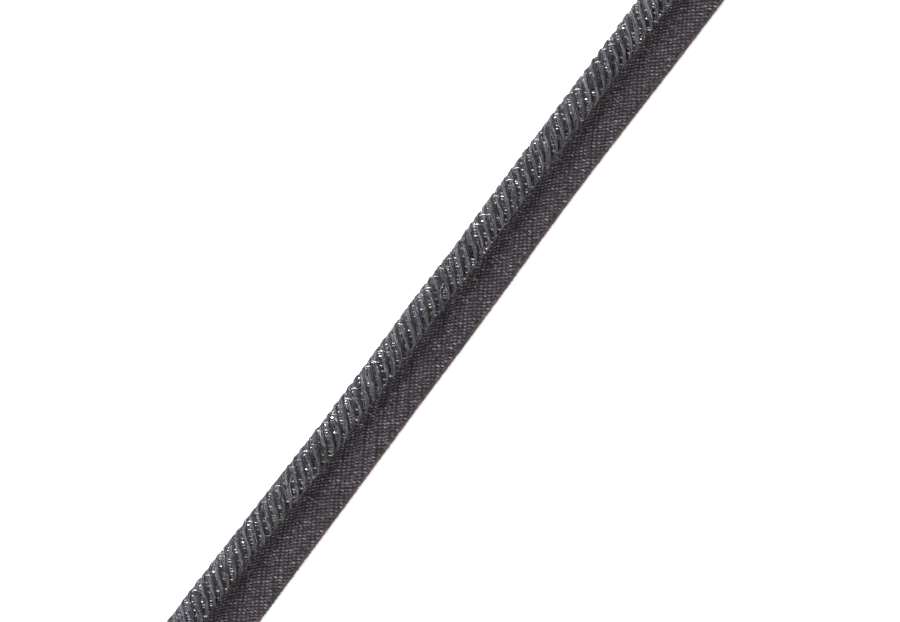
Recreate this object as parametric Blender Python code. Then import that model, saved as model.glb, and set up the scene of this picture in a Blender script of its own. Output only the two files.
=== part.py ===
"""Flanged cord trim: a twisted cord with a woven lip tape, lying straight on a table.

Frame: +X runs along the trim, +Y points from the lip towards the cord, +Z is up.
The origin is the middle of the trim's footprint on the table. Units are metres.
"""

import math
from typing import NamedTuple

import bmesh
import bpy
import numpy as np

MM = 0.001

# The cut length and the cord
CUT_LENGTH = 250 * MM
CORD_RADIUS = 4.0 * MM
GROOVE_DEPTH = 0.42 * MM
STRAND_COUNT = 6
TWIST_LEAD = 18.5 * MM
REST_FLAT_DEPTH = 0.25 * MM

# The woven lip tape
TAPE_THICKNESS = 1.0 * MM
SELVEDGE_WIDTH = 0.2 * MM
SELVEDGE_THICKNESS = 0.6 * MM
SEAM_GAP = 0.3 * MM
SEAM_ANGLE = math.radians(32)

# How finely the curved surfaces are divided
POINTS_PER_STRAND = 4
RING_TURN = math.radians(30)
TAPE_SECTIONS = 41
TAPE_SWEEP_STEPS = 6

# Height of the cord's centre line: its crests reach just below the table, where they flatten
CORD_CENTRE_HEIGHT = CORD_RADIUS - REST_FLAT_DEPTH


class Station(NamedTuple):
    """Where the cord's centre line and the lip's free edge lie at one place along the trim."""

    along: float
    cord: float
    lip: float


# The trim lies almost straight: its few slow bends, in millimetres
LIE = (
    Station(along=-125, cord=6.05, lip=-10.05),
    Station(along=-97, cord=6.00, lip=-10.05),
    Station(along=-84, cord=5.65, lip=-10.00),
    Station(along=-71, cord=5.40, lip=-9.95),
    Station(along=-58, cord=5.15, lip=-9.90),
    Station(along=-44, cord=4.85, lip=-9.80),
    Station(along=-25, cord=4.80, lip=-9.70),
    Station(along=2, cord=4.95, lip=-9.70),
    Station(along=15, cord=4.65, lip=-9.55),
    Station(along=28, cord=4.80, lip=-9.30),
    Station(along=48, cord=4.90, lip=-9.15),
    Station(along=67, cord=4.85, lip=-9.35),
    Station(along=87, cord=4.90, lip=-9.75),
    Station(along=125, cord=4.95, lip=-10.10),
)


def clear_scene():
    """Remove every object that the new file starts with."""
    for obj in list(bpy.data.objects):
        bpy.data.objects.remove(obj)


def smooth_through(places, column):
    """Read one column of LIE at the given places, on a smooth curve through its rows.

    Each stretch is a cubic Hermite curve whose slope at a row is that of the rows around it.
    """
    along = np.array([row.along for row in LIE]) * MM
    values = np.array([getattr(row, column) for row in LIE]) * MM
    slopes = np.gradient(values, along)
    stretch = np.clip(np.searchsorted(along, places) - 1, 0, len(along) - 2)
    width = along[stretch + 1] - along[stretch]
    t = (places - along[stretch]) / width
    from_start = (1 + 2 * t) * (1 - t) ** 2 * values[stretch] + t * (1 - t) ** 2 * width * slopes[stretch]
    from_end = t**2 * (3 - 2 * t) * values[stretch + 1] - t**2 * (1 - t) * width * slopes[stretch + 1]
    return from_start + from_end


def strand_radius(turn):
    """Distance from the cord's axis to its surface, at an angle measured from a strand's crest.

    Each strand shows as a round back with a sharp groove on either side.
    """
    back = np.abs(np.cos(turn * STRAND_COUNT / 2))
    return CORD_RADIUS - GROOVE_DEPTH * (1 - back)


def cord_rings():
    """Rings of points along the cord, each turned a little further than the last.

    The twist is an S twist: seen from above, a strand runs towards +Y as it runs towards +X.
    """
    steps = math.ceil(CUT_LENGTH / TWIST_LEAD * math.tau / RING_TURN)
    along = np.linspace(-CUT_LENGTH / 2, CUT_LENGTH / 2, steps + 1)[:, None]
    around = np.arange(STRAND_COUNT * POINTS_PER_STRAND) * math.tau / (STRAND_COUNT * POINTS_PER_STRAND)
    turn = around + along * math.tau / TWIST_LEAD
    radius = strand_radius(around)
    across = smooth_through(along, "cord") + radius * np.sin(turn)
    height = np.maximum(CORD_CENTRE_HEIGHT + radius * np.cos(turn), 0)
    return np.stack(np.broadcast_arrays(along, across, height), axis=-1)


def make_cord():
    """The twisted cord: one solid with its strands raised, cut square at both ends."""
    rings = cord_rings()
    mesh = bmesh.new()
    verts = [[mesh.verts.new(point) for point in ring] for ring in rings]
    for near, far in zip(verts, verts[1:]):
        for k in range(len(near)):
            last = k - 1
            mesh.faces.new((near[last], near[k], far[k], far[last]))
    for ring, points in ((verts[0], rings[0]), (verts[-1], rings[-1])):
        centre = mesh.verts.new(points.mean(axis=0))
        for k in range(len(ring)):
            mesh.faces.new((ring[k - 1], ring[k], centre))
    bmesh.ops.triangulate(mesh, faces=mesh.faces[:], quad_method="SHORT_EDGE")
    return finish_mesh("twisted_cord", mesh)


def tape_profile():
    """Middle line of the tape's curved part, from the flat part to the seam, seen from its end.

    Returns the distance from the cord's centre line, the height, and the slope's angle. The line
    is a parabola that leaves the table level and ends pointing at the cord's centre.
    """
    reach = CORD_RADIUS + SEAM_GAP
    end_across = -reach * math.cos(SEAM_ANGLE)
    end_height = CORD_CENTRE_HEIGHT - reach * math.sin(SEAM_ANGLE)
    rise = end_height - TAPE_THICKNESS / 2
    run = 2 * rise / math.tan(SEAM_ANGLE)
    part = np.linspace(0, 1, TAPE_SWEEP_STEPS + 1)
    across = end_across - run * (1 - part)
    height = TAPE_THICKNESS / 2 + rise * part**2
    angle = np.arctan(part * math.tan(SEAM_ANGLE))
    return across, height, angle


def tape_section(cord_centre, lip_edge):
    """Paired under and upper points across the tape, from its free edge to the seam."""
    across, height, angle = tape_profile()
    half = TAPE_THICKNESS / 2
    middle_y = np.concatenate(([lip_edge, lip_edge + SELVEDGE_WIDTH], cord_centre + across))
    middle_z = np.concatenate(([half, half], height))
    tilt = np.concatenate(([0, 0], angle))
    half_thick = np.full(len(tilt), half)
    half_thick[0] = SELVEDGE_THICKNESS / 2
    under = np.stack((middle_y + half_thick * np.sin(tilt), middle_z - half_thick * np.cos(tilt)), axis=-1)
    upper = np.stack((middle_y - half_thick * np.sin(tilt), middle_z + half_thick * np.cos(tilt)), axis=-1)
    return under, upper


def make_tape():
    """The lip tape: a woven band that lies flat, then sweeps up to the cord's side."""
    places = np.linspace(-CUT_LENGTH / 2, CUT_LENGTH / 2, TAPE_SECTIONS)
    cords = smooth_through(places, "cord")
    lips = smooth_through(places, "lip")
    mesh = bmesh.new()
    sections = []
    for x, cord_centre, lip_edge in zip(places, cords, lips):
        under, upper = tape_section(cord_centre, lip_edge)
        outline = np.concatenate((under, upper[::-1]))
        sections.append([mesh.verts.new((x, y, z)) for y, z in outline])
    for near, far in zip(sections, sections[1:]):
        for k in range(len(near)):
            last = k - 1
            mesh.faces.new((near[last], near[k], far[k], far[last]))
    for section in (sections[0], sections[-1]):
        for k in range(len(section) // 2 - 1):
            opposite = len(section) - 1 - k
            mesh.faces.new((section[k], section[k + 1], section[opposite - 1], section[opposite]))
    return finish_mesh("lip_tape", mesh)


def finish_mesh(name, mesh):
    """Turn a bmesh into a named object with outward faces and smooth shading."""
    bmesh.ops.recalc_face_normals(mesh, faces=mesh.faces[:])
    data = bpy.data.meshes.new(name)
    mesh.to_mesh(data)
    mesh.free()
    data.shade_smooth()
    data.set_sharp_from_angle(angle=math.radians(50))
    obj = bpy.data.objects.new(name, data)
    bpy.context.scene.collection.objects.link(obj)
    return obj


def dress(obj, colour, roughness, metallic):
    """Give an object its own cloth material."""
    material = bpy.data.materials.new(obj.name)
    material.use_nodes = True
    shader = material.node_tree.nodes["Principled BSDF"]
    shader.inputs["Base Color"].default_value = (*colour, 1)
    shader.inputs["Roughness"].default_value = roughness
    shader.inputs["Metallic"].default_value = metallic
    obj.data.materials.append(material)


def main():
    """Build the trim."""
    clear_scene()
    dress(make_cord(), colour=(0.085, 0.084, 0.098), roughness=0.7, metallic=0.15)
    dress(make_tape(), colour=(0.062, 0.055, 0.063), roughness=0.9, metallic=0.0)


main()
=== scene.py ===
"""Looks of a cut length of flanged cord trim: a twisted cord with a woven lip tape sewn along it.

The trim lies along +X on a table at height 0. Its lip points towards -Y and its cord lies towards
+Y. Six soft matt yarns and six metallic yarns are laid round a dark core in an S twist, and a twill
tape is whipped to the cord's side. Lengths are in metres.
"""

import logging
import math
from dataclasses import dataclass
from enum import Enum, IntEnum
from functools import cache
from typing import Sequence

import bpy
import numpy as np
from mathutils import Matrix, Vector


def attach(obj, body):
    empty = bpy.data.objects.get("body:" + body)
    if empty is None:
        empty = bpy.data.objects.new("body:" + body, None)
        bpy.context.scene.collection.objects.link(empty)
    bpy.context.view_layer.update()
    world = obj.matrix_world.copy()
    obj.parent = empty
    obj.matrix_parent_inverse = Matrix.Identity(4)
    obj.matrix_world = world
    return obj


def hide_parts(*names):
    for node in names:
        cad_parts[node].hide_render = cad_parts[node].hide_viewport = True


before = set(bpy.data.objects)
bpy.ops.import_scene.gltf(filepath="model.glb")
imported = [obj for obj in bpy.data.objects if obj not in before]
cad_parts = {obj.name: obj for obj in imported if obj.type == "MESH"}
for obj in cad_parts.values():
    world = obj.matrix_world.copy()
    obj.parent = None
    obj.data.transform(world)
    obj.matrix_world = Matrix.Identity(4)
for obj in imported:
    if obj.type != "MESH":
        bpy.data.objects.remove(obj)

MM = 0.001
TAU = math.tau
LOG = logging.getLogger("flanged_cord_trim")
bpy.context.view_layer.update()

# V stays just short of the next tube's number, so its whole part is the tube's own
V_SHARE = 0.999

# A thread whose direction has a larger Z than this counts as steep
STEEP = 0.8

# Corners of a flat ribbon's section: across it, and through it
RIBBON_EDGE = np.array([-1, 1, 1, -1])
RIBBON_SKIN = np.array([1, 1, -1, -1])

# The Mix node numbers its sockets over all data types: here its factor, two colours and result
MIX_COLOUR_INPUTS = (0, 6, 7)
MIX_COLOUR_RESULT = 2

# Most values of a noise texture lie in these ranges, which are stretched to 0..1
NOISE_RANGE = (0.35, 0.65)
PATCH_RANGE = (0.3, 0.7)

# Threads read the patches' noise this far apart, so that neighbours differ
PATCH_LINE_SPACING = 17.3


class Twist(Enum):
    """The way a cord's strands turn: S runs up to the left on an upright cord, Z to the right."""

    S = 1
    Z = -1


class TapeFace(Enum):
    """A face of the tape: the value is the side of the tape's middle on which it lies."""

    UPPER = 1
    UNDER = -1


class Slot(Enum):
    """The material slots that the pieces are tagged with."""

    CORD = "cord_yarn"
    TAPE = "tape_twill"


class Seed(IntEnum):
    """Where each random source starts, so that every build gives the same trim."""

    UPPER_FLOATS = 31
    UNDER_FLOATS = 37
    EDGE_TURNS = 41
    TAPE_CUTS = 43
    CORE_CUTS = 47
    FUZZ = 53
    STRAYS = 59
    FILAMENTS = 61
    BINDINGS = 67

    def source(self) -> np.random.Generator:
        """A fresh random source that starts here."""
        return np.random.default_rng(int(self))


# Arrays and meshes


@dataclass
class Shape:
    """Closed surfaces as arrays: points, each face's corners in one row, face sizes and corner UVs."""

    points: np.ndarray
    corners: np.ndarray
    sizes: np.ndarray
    uvs: np.ndarray

    @staticmethod
    def joined(shapes: Sequence["Shape"]) -> "Shape":
        """Put several shapes into one.

        Args:
            shapes: the shapes, in the order in which their points follow each other.

        Returns:
            One shape that holds them all.
        """
        offsets = np.cumsum([0] + [len(shape.points) for shape in shapes[:-1]])
        return Shape(
            points=np.concatenate([shape.points for shape in shapes]),
            corners=np.concatenate([shape.corners + offset for shape, offset in zip(shapes, offsets)]),
            sizes=np.concatenate([shape.sizes for shape in shapes]),
            uvs=np.concatenate([shape.uvs for shape in shapes]),
        )

    def to_object(
        self, name: str, material: bpy.types.Material, sharp_deg: float = 180.0
    ) -> bpy.types.Object:
        """Make a smooth-shaded object of the shape, at the origin.

        Args:
            name: the piece's name.
            material: its only material.
            sharp_deg: edges that bend by more than this stay sharp.

        Returns:
            The new object, linked to the scene.
        """
        mesh = bpy.data.meshes.new(name)
        mesh.vertices.add(len(self.points))
        mesh.vertices.foreach_set("co", self.points.astype(np.float32).ravel())
        mesh.loops.add(len(self.corners))
        mesh.loops.foreach_set("vertex_index", self.corners.astype(np.int32))
        mesh.polygons.add(len(self.sizes))
        starts = np.concatenate(([0], np.cumsum(self.sizes)[:-1]))
        mesh.polygons.foreach_set("loop_start", starts.astype(np.int32))
        mesh.update(calc_edges=True)
        mesh.uv_layers.new(name="UVMap").data.foreach_set("uv", self.uvs.astype(np.float32).ravel())
        mesh.shade_smooth()
        if sharp_deg < 180.0:
            mesh.set_sharp_from_angle(angle=math.radians(sharp_deg))
        mesh.materials.append(material)
        obj = bpy.data.objects.new(name, mesh)
        bpy.context.scene.collection.objects.link(obj)
        return obj


def in_several_finishes(
    name: str, parts: Sequence[tuple[Shape, bpy.types.Material]]
) -> bpy.types.Object:
    """Make one object of several shapes, each in its own material.

    Args:
        name: the piece's name.
        parts: the shapes with their materials.

    Returns:
        The new object.
    """
    obj = Shape.joined([shape for shape, _ in parts]).to_object(name, parts[0][1])
    for _, material in parts[1:]:
        obj.data.materials.append(material)
    numbers = np.repeat(np.arange(len(parts), dtype=np.int32), [len(shape.sizes) for shape, _ in parts])
    obj.data.polygons.foreach_set("material_index", numbers)
    return obj


def tubes(points: np.ndarray, lengthwise: np.ndarray, first_lot: int = 0) -> Shape:
    """Close k tubes of n rings with m points each, with a flat cap on both ends.

    A face joins points j and j + 1 of rings i and i + 1. The sum of the tetrahedra from the origin
    to the faces is the volume inside: where it is negative the rings are read the other way round,
    so the faces point outwards.

    Args:
        points: array (k, n, m, 3) of ring points.
        lengthwise: array (n,) or (k, n), the U coordinate of each ring.
        first_lot: the number of the first tube, for a finish that changes from tube to tube.

    Returns:
        The tubes as one shape. V runs round each ring, from the tube's number to the next number.
    """
    count, rings, around, _ = points.shape
    index = np.arange(count * rings * around).reshape(count, rings, around)
    following = np.roll(index, -1, axis=2)
    quads = np.stack((index[:, :-1], index[:, 1:], following[:, 1:], following[:, :-1]), axis=-1)
    quads = quads.reshape(-1, 4)
    caps = np.concatenate((index[:, 0, :], index[:, -1, ::-1]))
    flat = points.reshape(-1, 3)

    u = np.broadcast_to(lengthwise, (count, rings))[:, :, None]
    v = first_lot + np.arange(count)[:, None, None] + np.arange(around) / around
    step = V_SHARE / around
    start_u = np.broadcast_to(u[:, :-1], (count, rings - 1, around))
    end_u = np.broadcast_to(u[:, 1:], (count, rings - 1, around))
    low_v = np.broadcast_to(v, start_u.shape)
    quad_uv = np.stack(
        (
            np.stack((start_u, low_v), axis=-1),
            np.stack((end_u, low_v), axis=-1),
            np.stack((end_u, low_v + step), axis=-1),
            np.stack((start_u, low_v + step), axis=-1),
        ),
        axis=-2,
    ).reshape(-1, 2)
    cap_v = np.concatenate((v[:, 0], v[:, 0]))
    cap_uv = np.stack((np.zeros_like(cap_v), cap_v), axis=-1).reshape(-1, 2)

    near, far, beyond = flat[quads[:, 0]], flat[quads[:, 1]], flat[quads[:, 2]]
    volume = np.einsum("ij,ij->", near, np.cross(far, beyond))
    volume += np.einsum("ij,ij->", near, np.cross(beyond, flat[quads[:, 3]]))
    hub, rim = flat[caps[:, :1]], flat[caps]
    volume += np.sum(hub * np.cross(rim[:, :-1], rim[:, 1:]))
    if volume < 0:
        quads = quads[:, ::-1]
        caps = caps[:, ::-1]
        quad_uv = quad_uv.reshape(-1, 4, 2)[:, ::-1].reshape(-1, 2)
    return Shape(
        points=flat,
        corners=np.concatenate((quads.ravel(), caps.ravel())),
        sizes=np.concatenate((np.full(len(quads), 4), np.full(len(caps), around))),
        uvs=np.concatenate((quad_uv, cap_uv)),
    )


def round_angles(sides: int) -> np.ndarray:
    """The angles of points that stand evenly round a ring."""
    return np.arange(sides) * TAU / sides


def evenly_spaced(half: float, spacing: float) -> np.ndarray:
    """Places from -half to half, about one spacing apart, as a column (n, 1)."""
    return np.linspace(-half, half, int(2 * half / spacing) + 1)[:, None]


def wander(places: np.ndarray, spacing: float, seed: int) -> np.ndarray:
    """Smooth seeded noise between -1 and 1 along a line.

    Random values stand at knots that are `spacing` apart. Between two knots the value goes from one
    to the other as 3 t^2 - 2 t^3.

    Args:
        places: where to read it.
        spacing: distance between knots.
        seed: the same seed gives the same line.

    Returns:
        An array of the shape of places.
    """
    low = float(np.min(places))
    knots = np.random.default_rng(seed).uniform(-1, 1, int((np.max(places) - low) / spacing) + 3)
    position = (places - low) / spacing
    knot = position.astype(int)
    t = position - knot
    blend = t * t * (3 - 2 * t)
    return knots[knot] * (1 - blend) + knots[knot + 1] * blend


@dataclass(frozen=True)
class Drift:
    """A smooth seeded change along a thread: how far it goes, its knots' spacing, and its seed."""

    reach: float
    spacing: float
    seed: int

    def at(self, places: np.ndarray, lane: int = 0) -> np.ndarray:
        """Read the change.

        Args:
            places: where to read it, in the unit of the spacing.
            lane: the thread's number, so that each thread has its own line.

        Returns:
            Values between -reach and reach, in an array of the shape of places.
        """
        return self.reach * wander(places, self.spacing, self.seed + lane)


def unit(vectors: np.ndarray) -> np.ndarray:
    """Vectors of length one in the same directions."""
    return vectors / np.linalg.norm(vectors, axis=-1, keepdims=True)


def round_thread(centres: np.ndarray, radius: np.ndarray, sides: int) -> np.ndarray:
    """Rings of points round k centre lines, each ring square to its line.

    The line's direction is the difference of the points around each point. A ring is
    centre + radius (cos a * side + sin a * other), with side and other square to the direction.

    Args:
        centres: array (k, n, 3).
        radius: array that broadcasts to (k, n).
        sides: points in a ring.

    Returns:
        Array (k, n, sides, 3).
    """
    direction = unit(np.gradient(centres, axis=1))
    reference = np.where(np.abs(direction[..., 2:]) > STEEP, [1.0, 0.0, 0.0], [0.0, 0.0, 1.0])
    side = unit(np.cross(direction, reference))
    other = np.cross(direction, side)
    turn = round_angles(sides)
    width = np.broadcast_to(radius, centres.shape[:2])[..., None, None]
    ring = side[..., None, :] * np.cos(turn)[:, None] + other[..., None, :] * np.sin(turn)[:, None]
    return centres[..., None, :] + ring * width


# How the trim lies


@dataclass(frozen=True)
class Station:
    """Where the cord's centre line and the lip's free edge lie at one place, in millimetres."""

    along: float
    cord: float
    lip: float


@dataclass(frozen=True)
class Lie:
    """The trim's route on the table: almost straight, with a few slow bends.

    The rows are those of the solids, so every piece follows the same line.
    """

    cut_length: float = 250 * MM
    centre_height: float = 3.75 * MM
    rows: tuple[Station, ...] = (
        Station(along=-125, cord=6.05, lip=-10.05),
        Station(along=-97, cord=6.00, lip=-10.05),
        Station(along=-84, cord=5.65, lip=-10.00),
        Station(along=-71, cord=5.40, lip=-9.95),
        Station(along=-58, cord=5.15, lip=-9.90),
        Station(along=-44, cord=4.85, lip=-9.80),
        Station(along=-25, cord=4.80, lip=-9.70),
        Station(along=2, cord=4.95, lip=-9.70),
        Station(along=15, cord=4.65, lip=-9.55),
        Station(along=28, cord=4.80, lip=-9.30),
        Station(along=48, cord=4.90, lip=-9.15),
        Station(along=67, cord=4.85, lip=-9.35),
        Station(along=87, cord=4.90, lip=-9.75),
        Station(along=125, cord=4.95, lip=-10.10),
    )

    def cord(self, along: np.ndarray) -> np.ndarray:
        """The cord's centre line: its Y at each place along the trim."""
        return self._read(along, "cord")

    def lip(self, along: np.ndarray) -> np.ndarray:
        """The lip's free edge: its Y at each place along the trim."""
        return self._read(along, "lip")

    def _read(self, places: np.ndarray, column: str) -> np.ndarray:
        """Read a column on a smooth curve through its rows.

        Each stretch is a cubic Hermite curve whose slope at a row is that of the rows around it.

        Args:
            places: X of each place.
            column: the name of a column of the rows.

        Returns:
            The column's value at each place.
        """
        along = np.array([row.along for row in self.rows]) * MM
        values = np.array([getattr(row, column) for row in self.rows]) * MM
        slopes = np.gradient(values, along)
        stretch = np.clip(np.searchsorted(along, places) - 1, 0, len(along) - 2)
        width = along[stretch + 1] - along[stretch]
        t = (places - along[stretch]) / width
        rising = (1 + 2 * t) * (1 - t) ** 2 * values[stretch] + t * (1 - t) ** 2 * width * slopes[stretch]
        falling = t**2 * (3 - 2 * t) * values[stretch + 1] - t**2 * (1 - t) * width * slopes[stretch + 1]
        return rising + falling


@dataclass(frozen=True)
class CordForm:
    """The cord's geometry: yarns that turn round a centre line with one common lead."""

    lie: Lie
    radius: float = 4.0 * MM
    lead: float = 18.5 * MM
    strands: int = 6
    twist: Twist = Twist.S
    pressed_height: float = 1.5 * MM
    flattened_height: float = 0.3 * MM

    def angle(self, along: np.ndarray, offset: float) -> np.ndarray:
        """The angle from straight up at which a yarn lies: 2 pi x / lead plus its own offset."""
        return self.twist.value * along * TAU / self.lead + offset

    def lay(self, radius: float) -> float:
        """The angle between a yarn at this radius and the cord's length: atan(2 pi r / lead)."""
        return math.atan(TAU * radius / self.lead)

    def surface(self, along: np.ndarray, angle: np.ndarray, radius: np.ndarray) -> np.ndarray:
        """Points at an angle and a radius round the centre line.

        Y is the centre line's plus r sin a, and Z is its height plus r cos a. What would lie below
        the table is pressed up to it: with t the height over the lowest crest as a share of the
        pressed height, Z grows by the crest's depth times (1 - t)^2. A Z that is still below the
        flattened height f becomes f e^(Z / f - 1), which stays above the table.

        Args:
            along: X of each point.
            angle: angle from straight up, towards +Y.
            radius: distance from the centre line.

        Returns:
            Points, with the shape of the arguments and a last axis of three.
        """
        across = self.lie.cord(along) + radius * np.sin(angle)
        height = self.lie.centre_height + radius * np.cos(angle)
        depth = self.radius - self.lie.centre_height
        share = np.clip((height + depth) / self.pressed_height, 0, 1)
        height = height + depth * (1 - share) ** 2
        low = np.minimum(height / self.flattened_height - 1, 0)
        height = np.where(low < 0, self.flattened_height * np.exp(low), height)
        return np.stack(np.broadcast_arrays(along, across, height), axis=-1)

    def yarn_section(
        self,
        along: np.ndarray,
        offset: float,
        radius: np.ndarray,
        sideways: np.ndarray,
        outward: np.ndarray,
    ) -> np.ndarray:
        """Rings of a yarn, each in a plane square to the cord, so a cut end is flat.

        A sideways step b square to the yarn is b / cos(lay) round the cord in that plane.

        Args:
            along: X of each ring, (n, 1).
            offset: the yarn's own angle round the cord.
            radius: distance of the yarn's middle from the cord's, (n, 1) or a number.
            sideways: the section's sideways coordinates, (..., n, m).
            outward: the section's outward coordinates, (..., n, m).

        Returns:
            Points (..., n, m, 3).
        """
        reach = radius + outward
        swing = sideways / (math.cos(self.lay(float(np.mean(radius)))) * reach)
        angle = self.angle(along, offset) - self.twist.value * swing
        return self.surface(along, angle, reach)

    def beside_yarn(
        self,
        along: np.ndarray,
        angle: np.ndarray,
        yarn_radius: float,
        lengthways: np.ndarray,
        sideways: np.ndarray,
        reach: np.ndarray,
    ) -> np.ndarray:
        """Points that lie some steps away from a yarn's line.

        A step a along the yarn and b sideways moves a point by a cos(lay) + b sin(lay) along the
        cord, and turns it by (a sin(lay) - b cos(lay)) / r round it, with r its own radius.

        Args:
            along: X of the points on the line.
            angle: their angle round the cord.
            yarn_radius: the line's distance from the cord's middle.
            lengthways: the steps along the yarn.
            sideways: the steps across it.
            reach: the points' own distance from the cord's middle.

        Returns:
            Points, with the shape of the arguments and a last axis of three.
        """
        lay = self.lay(yarn_radius)
        places = along + lengthways * math.cos(lay) + sideways * math.sin(lay)
        swing = (lengthways * math.sin(lay) - sideways * math.cos(lay)) / reach
        return self.surface(places, angle + swing, reach)


@dataclass(frozen=True)
class TapeForm:
    """The tape's geometry: flat on the table, then a parabola that sweeps up to the cord's side."""

    lie: Lie
    cord_radius: float = 4.0 * MM
    thickness: float = 1.0 * MM
    seam_gap: float = 0.3 * MM
    seam_angle: float = math.radians(32)
    samples: int = 65

    @property
    def sweep(self) -> tuple[np.ndarray, np.ndarray, np.ndarray, np.ndarray]:
        """The parabola, from the seam outwards: distance, Y from the cord's line, height and tilt."""
        reach = self.cord_radius + self.seam_gap
        end_across = -reach * math.cos(self.seam_angle)
        end_height = self.lie.centre_height - reach * math.sin(self.seam_angle)
        rise = end_height - self.thickness / 2
        run = 2 * rise / math.tan(self.seam_angle)
        part = np.linspace(1, 0, self.samples)
        across = end_across - run * (1 - part)
        height = self.thickness / 2 + rise * part**2
        tilt = np.arctan(part * math.tan(self.seam_angle))
        steps = np.hypot(np.diff(across), np.diff(height))
        return np.concatenate(([0], np.cumsum(steps))), across, height, tilt

    def width(self, along: np.ndarray) -> np.ndarray:
        """The tape's width, measured over its surface from the seam to its free edge."""
        distance, across, _, _ = self.sweep
        return distance[-1] + self.lie.cord(along) + across[-1] - self.lie.lip(along)

    def surface(self, along: np.ndarray, distance: np.ndarray, lift: np.ndarray) -> np.ndarray:
        """Points on or near the tape.

        Args:
            along: X of each point.
            distance: distance over the tape from its seam edge.
            lift: height over the tape's middle, square to it.

        Returns:
            Points, with the shape of the arguments and a last axis of three.
        """
        known, across, height, tilt = self.sweep
        level = np.maximum(distance - known[-1], 0)
        lean = np.interp(distance, known, tilt)
        middle = self.lie.cord(along) + np.interp(distance, known, across) - level
        inside = np.minimum(distance, 0)
        y = middle - inside * math.cos(self.seam_angle) - lift * np.sin(lean)
        z = np.interp(distance, known, height) - inside * math.sin(self.seam_angle) + lift * np.cos(lean)
        return np.stack(np.broadcast_arrays(along, y, z), axis=-1)


# Finishes


class NodeSheet:
    """A small helper that adds nodes to a tree and links them."""

    def __init__(self, tree: bpy.types.NodeTree) -> None:
        """Keep the tree that the nodes go to."""
        self.tree = tree

    def _put(self, socket: bpy.types.NodeSocket, value: object) -> None:
        """Link another socket to an input, or give the input a plain value."""
        if isinstance(value, bpy.types.NodeSocket):
            self.tree.links.new(value, socket)
        else:
            socket.default_value = value

    def add(self, kind: str, **settings: object) -> bpy.types.Node:
        """Add a node.

        Args:
            kind: the node's type, as Blender names it.
            settings: attributes of the node, such as operation.

        Returns:
            The new node.
        """
        node = self.tree.nodes.new(kind)
        for key, value in settings.items():
            setattr(node, key, value)
        return node

    def feed(self, node: bpy.types.Node, **values: object) -> bpy.types.Node:
        """Set or link a node's inputs.

        Args:
            node: the node.
            values: input names, with _ for a blank, and what goes in: a socket or a plain value.

        Returns:
            The same node.
        """
        for key, value in values.items():
            self._put(node.inputs[key.replace("_", " ")], value)
        return node

    def fed(self, kind: str, **values: object) -> bpy.types.Node:
        """Add a node of a kind, and set or link its inputs."""
        return self.feed(self.add(kind), **values)

    def use(self, group: bpy.types.NodeTree, **values: object) -> bpy.types.Node:
        """Add a node group, and set or link its inputs."""
        return self.feed(self.add("ShaderNodeGroup", node_tree=group), **values)

    def axes(self, coordinates: str) -> bpy.types.Node:
        """Split texture coordinates, such as UV or Object, into outputs X, Y and Z."""
        place = self.add("ShaderNodeTexCoord").outputs[coordinates]
        return self.fed("ShaderNodeSeparateXYZ", Vector=place)

    def math(self, operation: str, first: object, second: object = 0.0) -> bpy.types.NodeSocket:
        """Add a Math node and give its result."""
        node = self.add("ShaderNodeMath", operation=operation)
        for socket, value in zip(node.inputs, (first, second)):
            self._put(socket, value)
        return node.outputs[0]

    def spread(self, value: bpy.types.NodeSocket, low: float, high: float) -> bpy.types.NodeSocket:
        """Map a value from 0..1 to low..high."""
        return self.fed("ShaderNodeMapRange", Value=value, To_Min=low, To_Max=high).outputs["Result"]

    def stretch(self, value: bpy.types.NodeSocket, low: float, high: float) -> bpy.types.NodeSocket:
        """Map a value from low..high to 0..1."""
        node = self.fed("ShaderNodeMapRange", Value=value, From_Min=low, From_Max=high)
        return node.outputs["Result"]

    def mix(self, factor: object, first: object, second: object) -> bpy.types.NodeSocket:
        """Mix two colours."""
        node = self.add("ShaderNodeMix", data_type="RGBA")
        for index, value in zip(MIX_COLOUR_INPUTS, (factor, first, second)):
            self._put(node.inputs[index], value)
        return node.outputs[MIX_COLOUR_RESULT]


def colour(red: float, green: float, blue: float) -> tuple[float, float, float, float]:
    """A linear colour with full alpha."""
    return (red, green, blue, 1.0)


def new_group(name: str, inputs: dict[str, object], outputs: dict[str, str]) -> bpy.types.NodeTree:
    """Start a shader node group.

    Args:
        name: the group's name.
        inputs: input names and default values: a number, or a tuple for a colour.
        outputs: output names and socket types.

    Returns:
        The group, with its two end nodes in it.
    """
    group = bpy.data.node_groups.new(name, "ShaderNodeTree")
    for label, value in inputs.items():
        kind = "NodeSocketColor" if isinstance(value, tuple) else "NodeSocketFloat"
        group.interface.new_socket(label, in_out="INPUT", socket_type=kind).default_value = value
    for label, kind in outputs.items():
        group.interface.new_socket(label, in_out="OUTPUT", socket_type=kind)
    group.nodes.new("NodeGroupInput")
    group.nodes.new("NodeGroupOutput")
    return group


def new_material(name: str) -> tuple[bpy.types.Material, NodeSheet, bpy.types.Node]:
    """Start a material.

    Args:
        name: the material's name.

    Returns:
        The material, a sheet for its nodes, and its shader.
    """
    material = bpy.data.materials.new(name)
    material.use_nodes = True
    return material, NodeSheet(material.node_tree), material.node_tree.nodes["Principled BSDF"]


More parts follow.
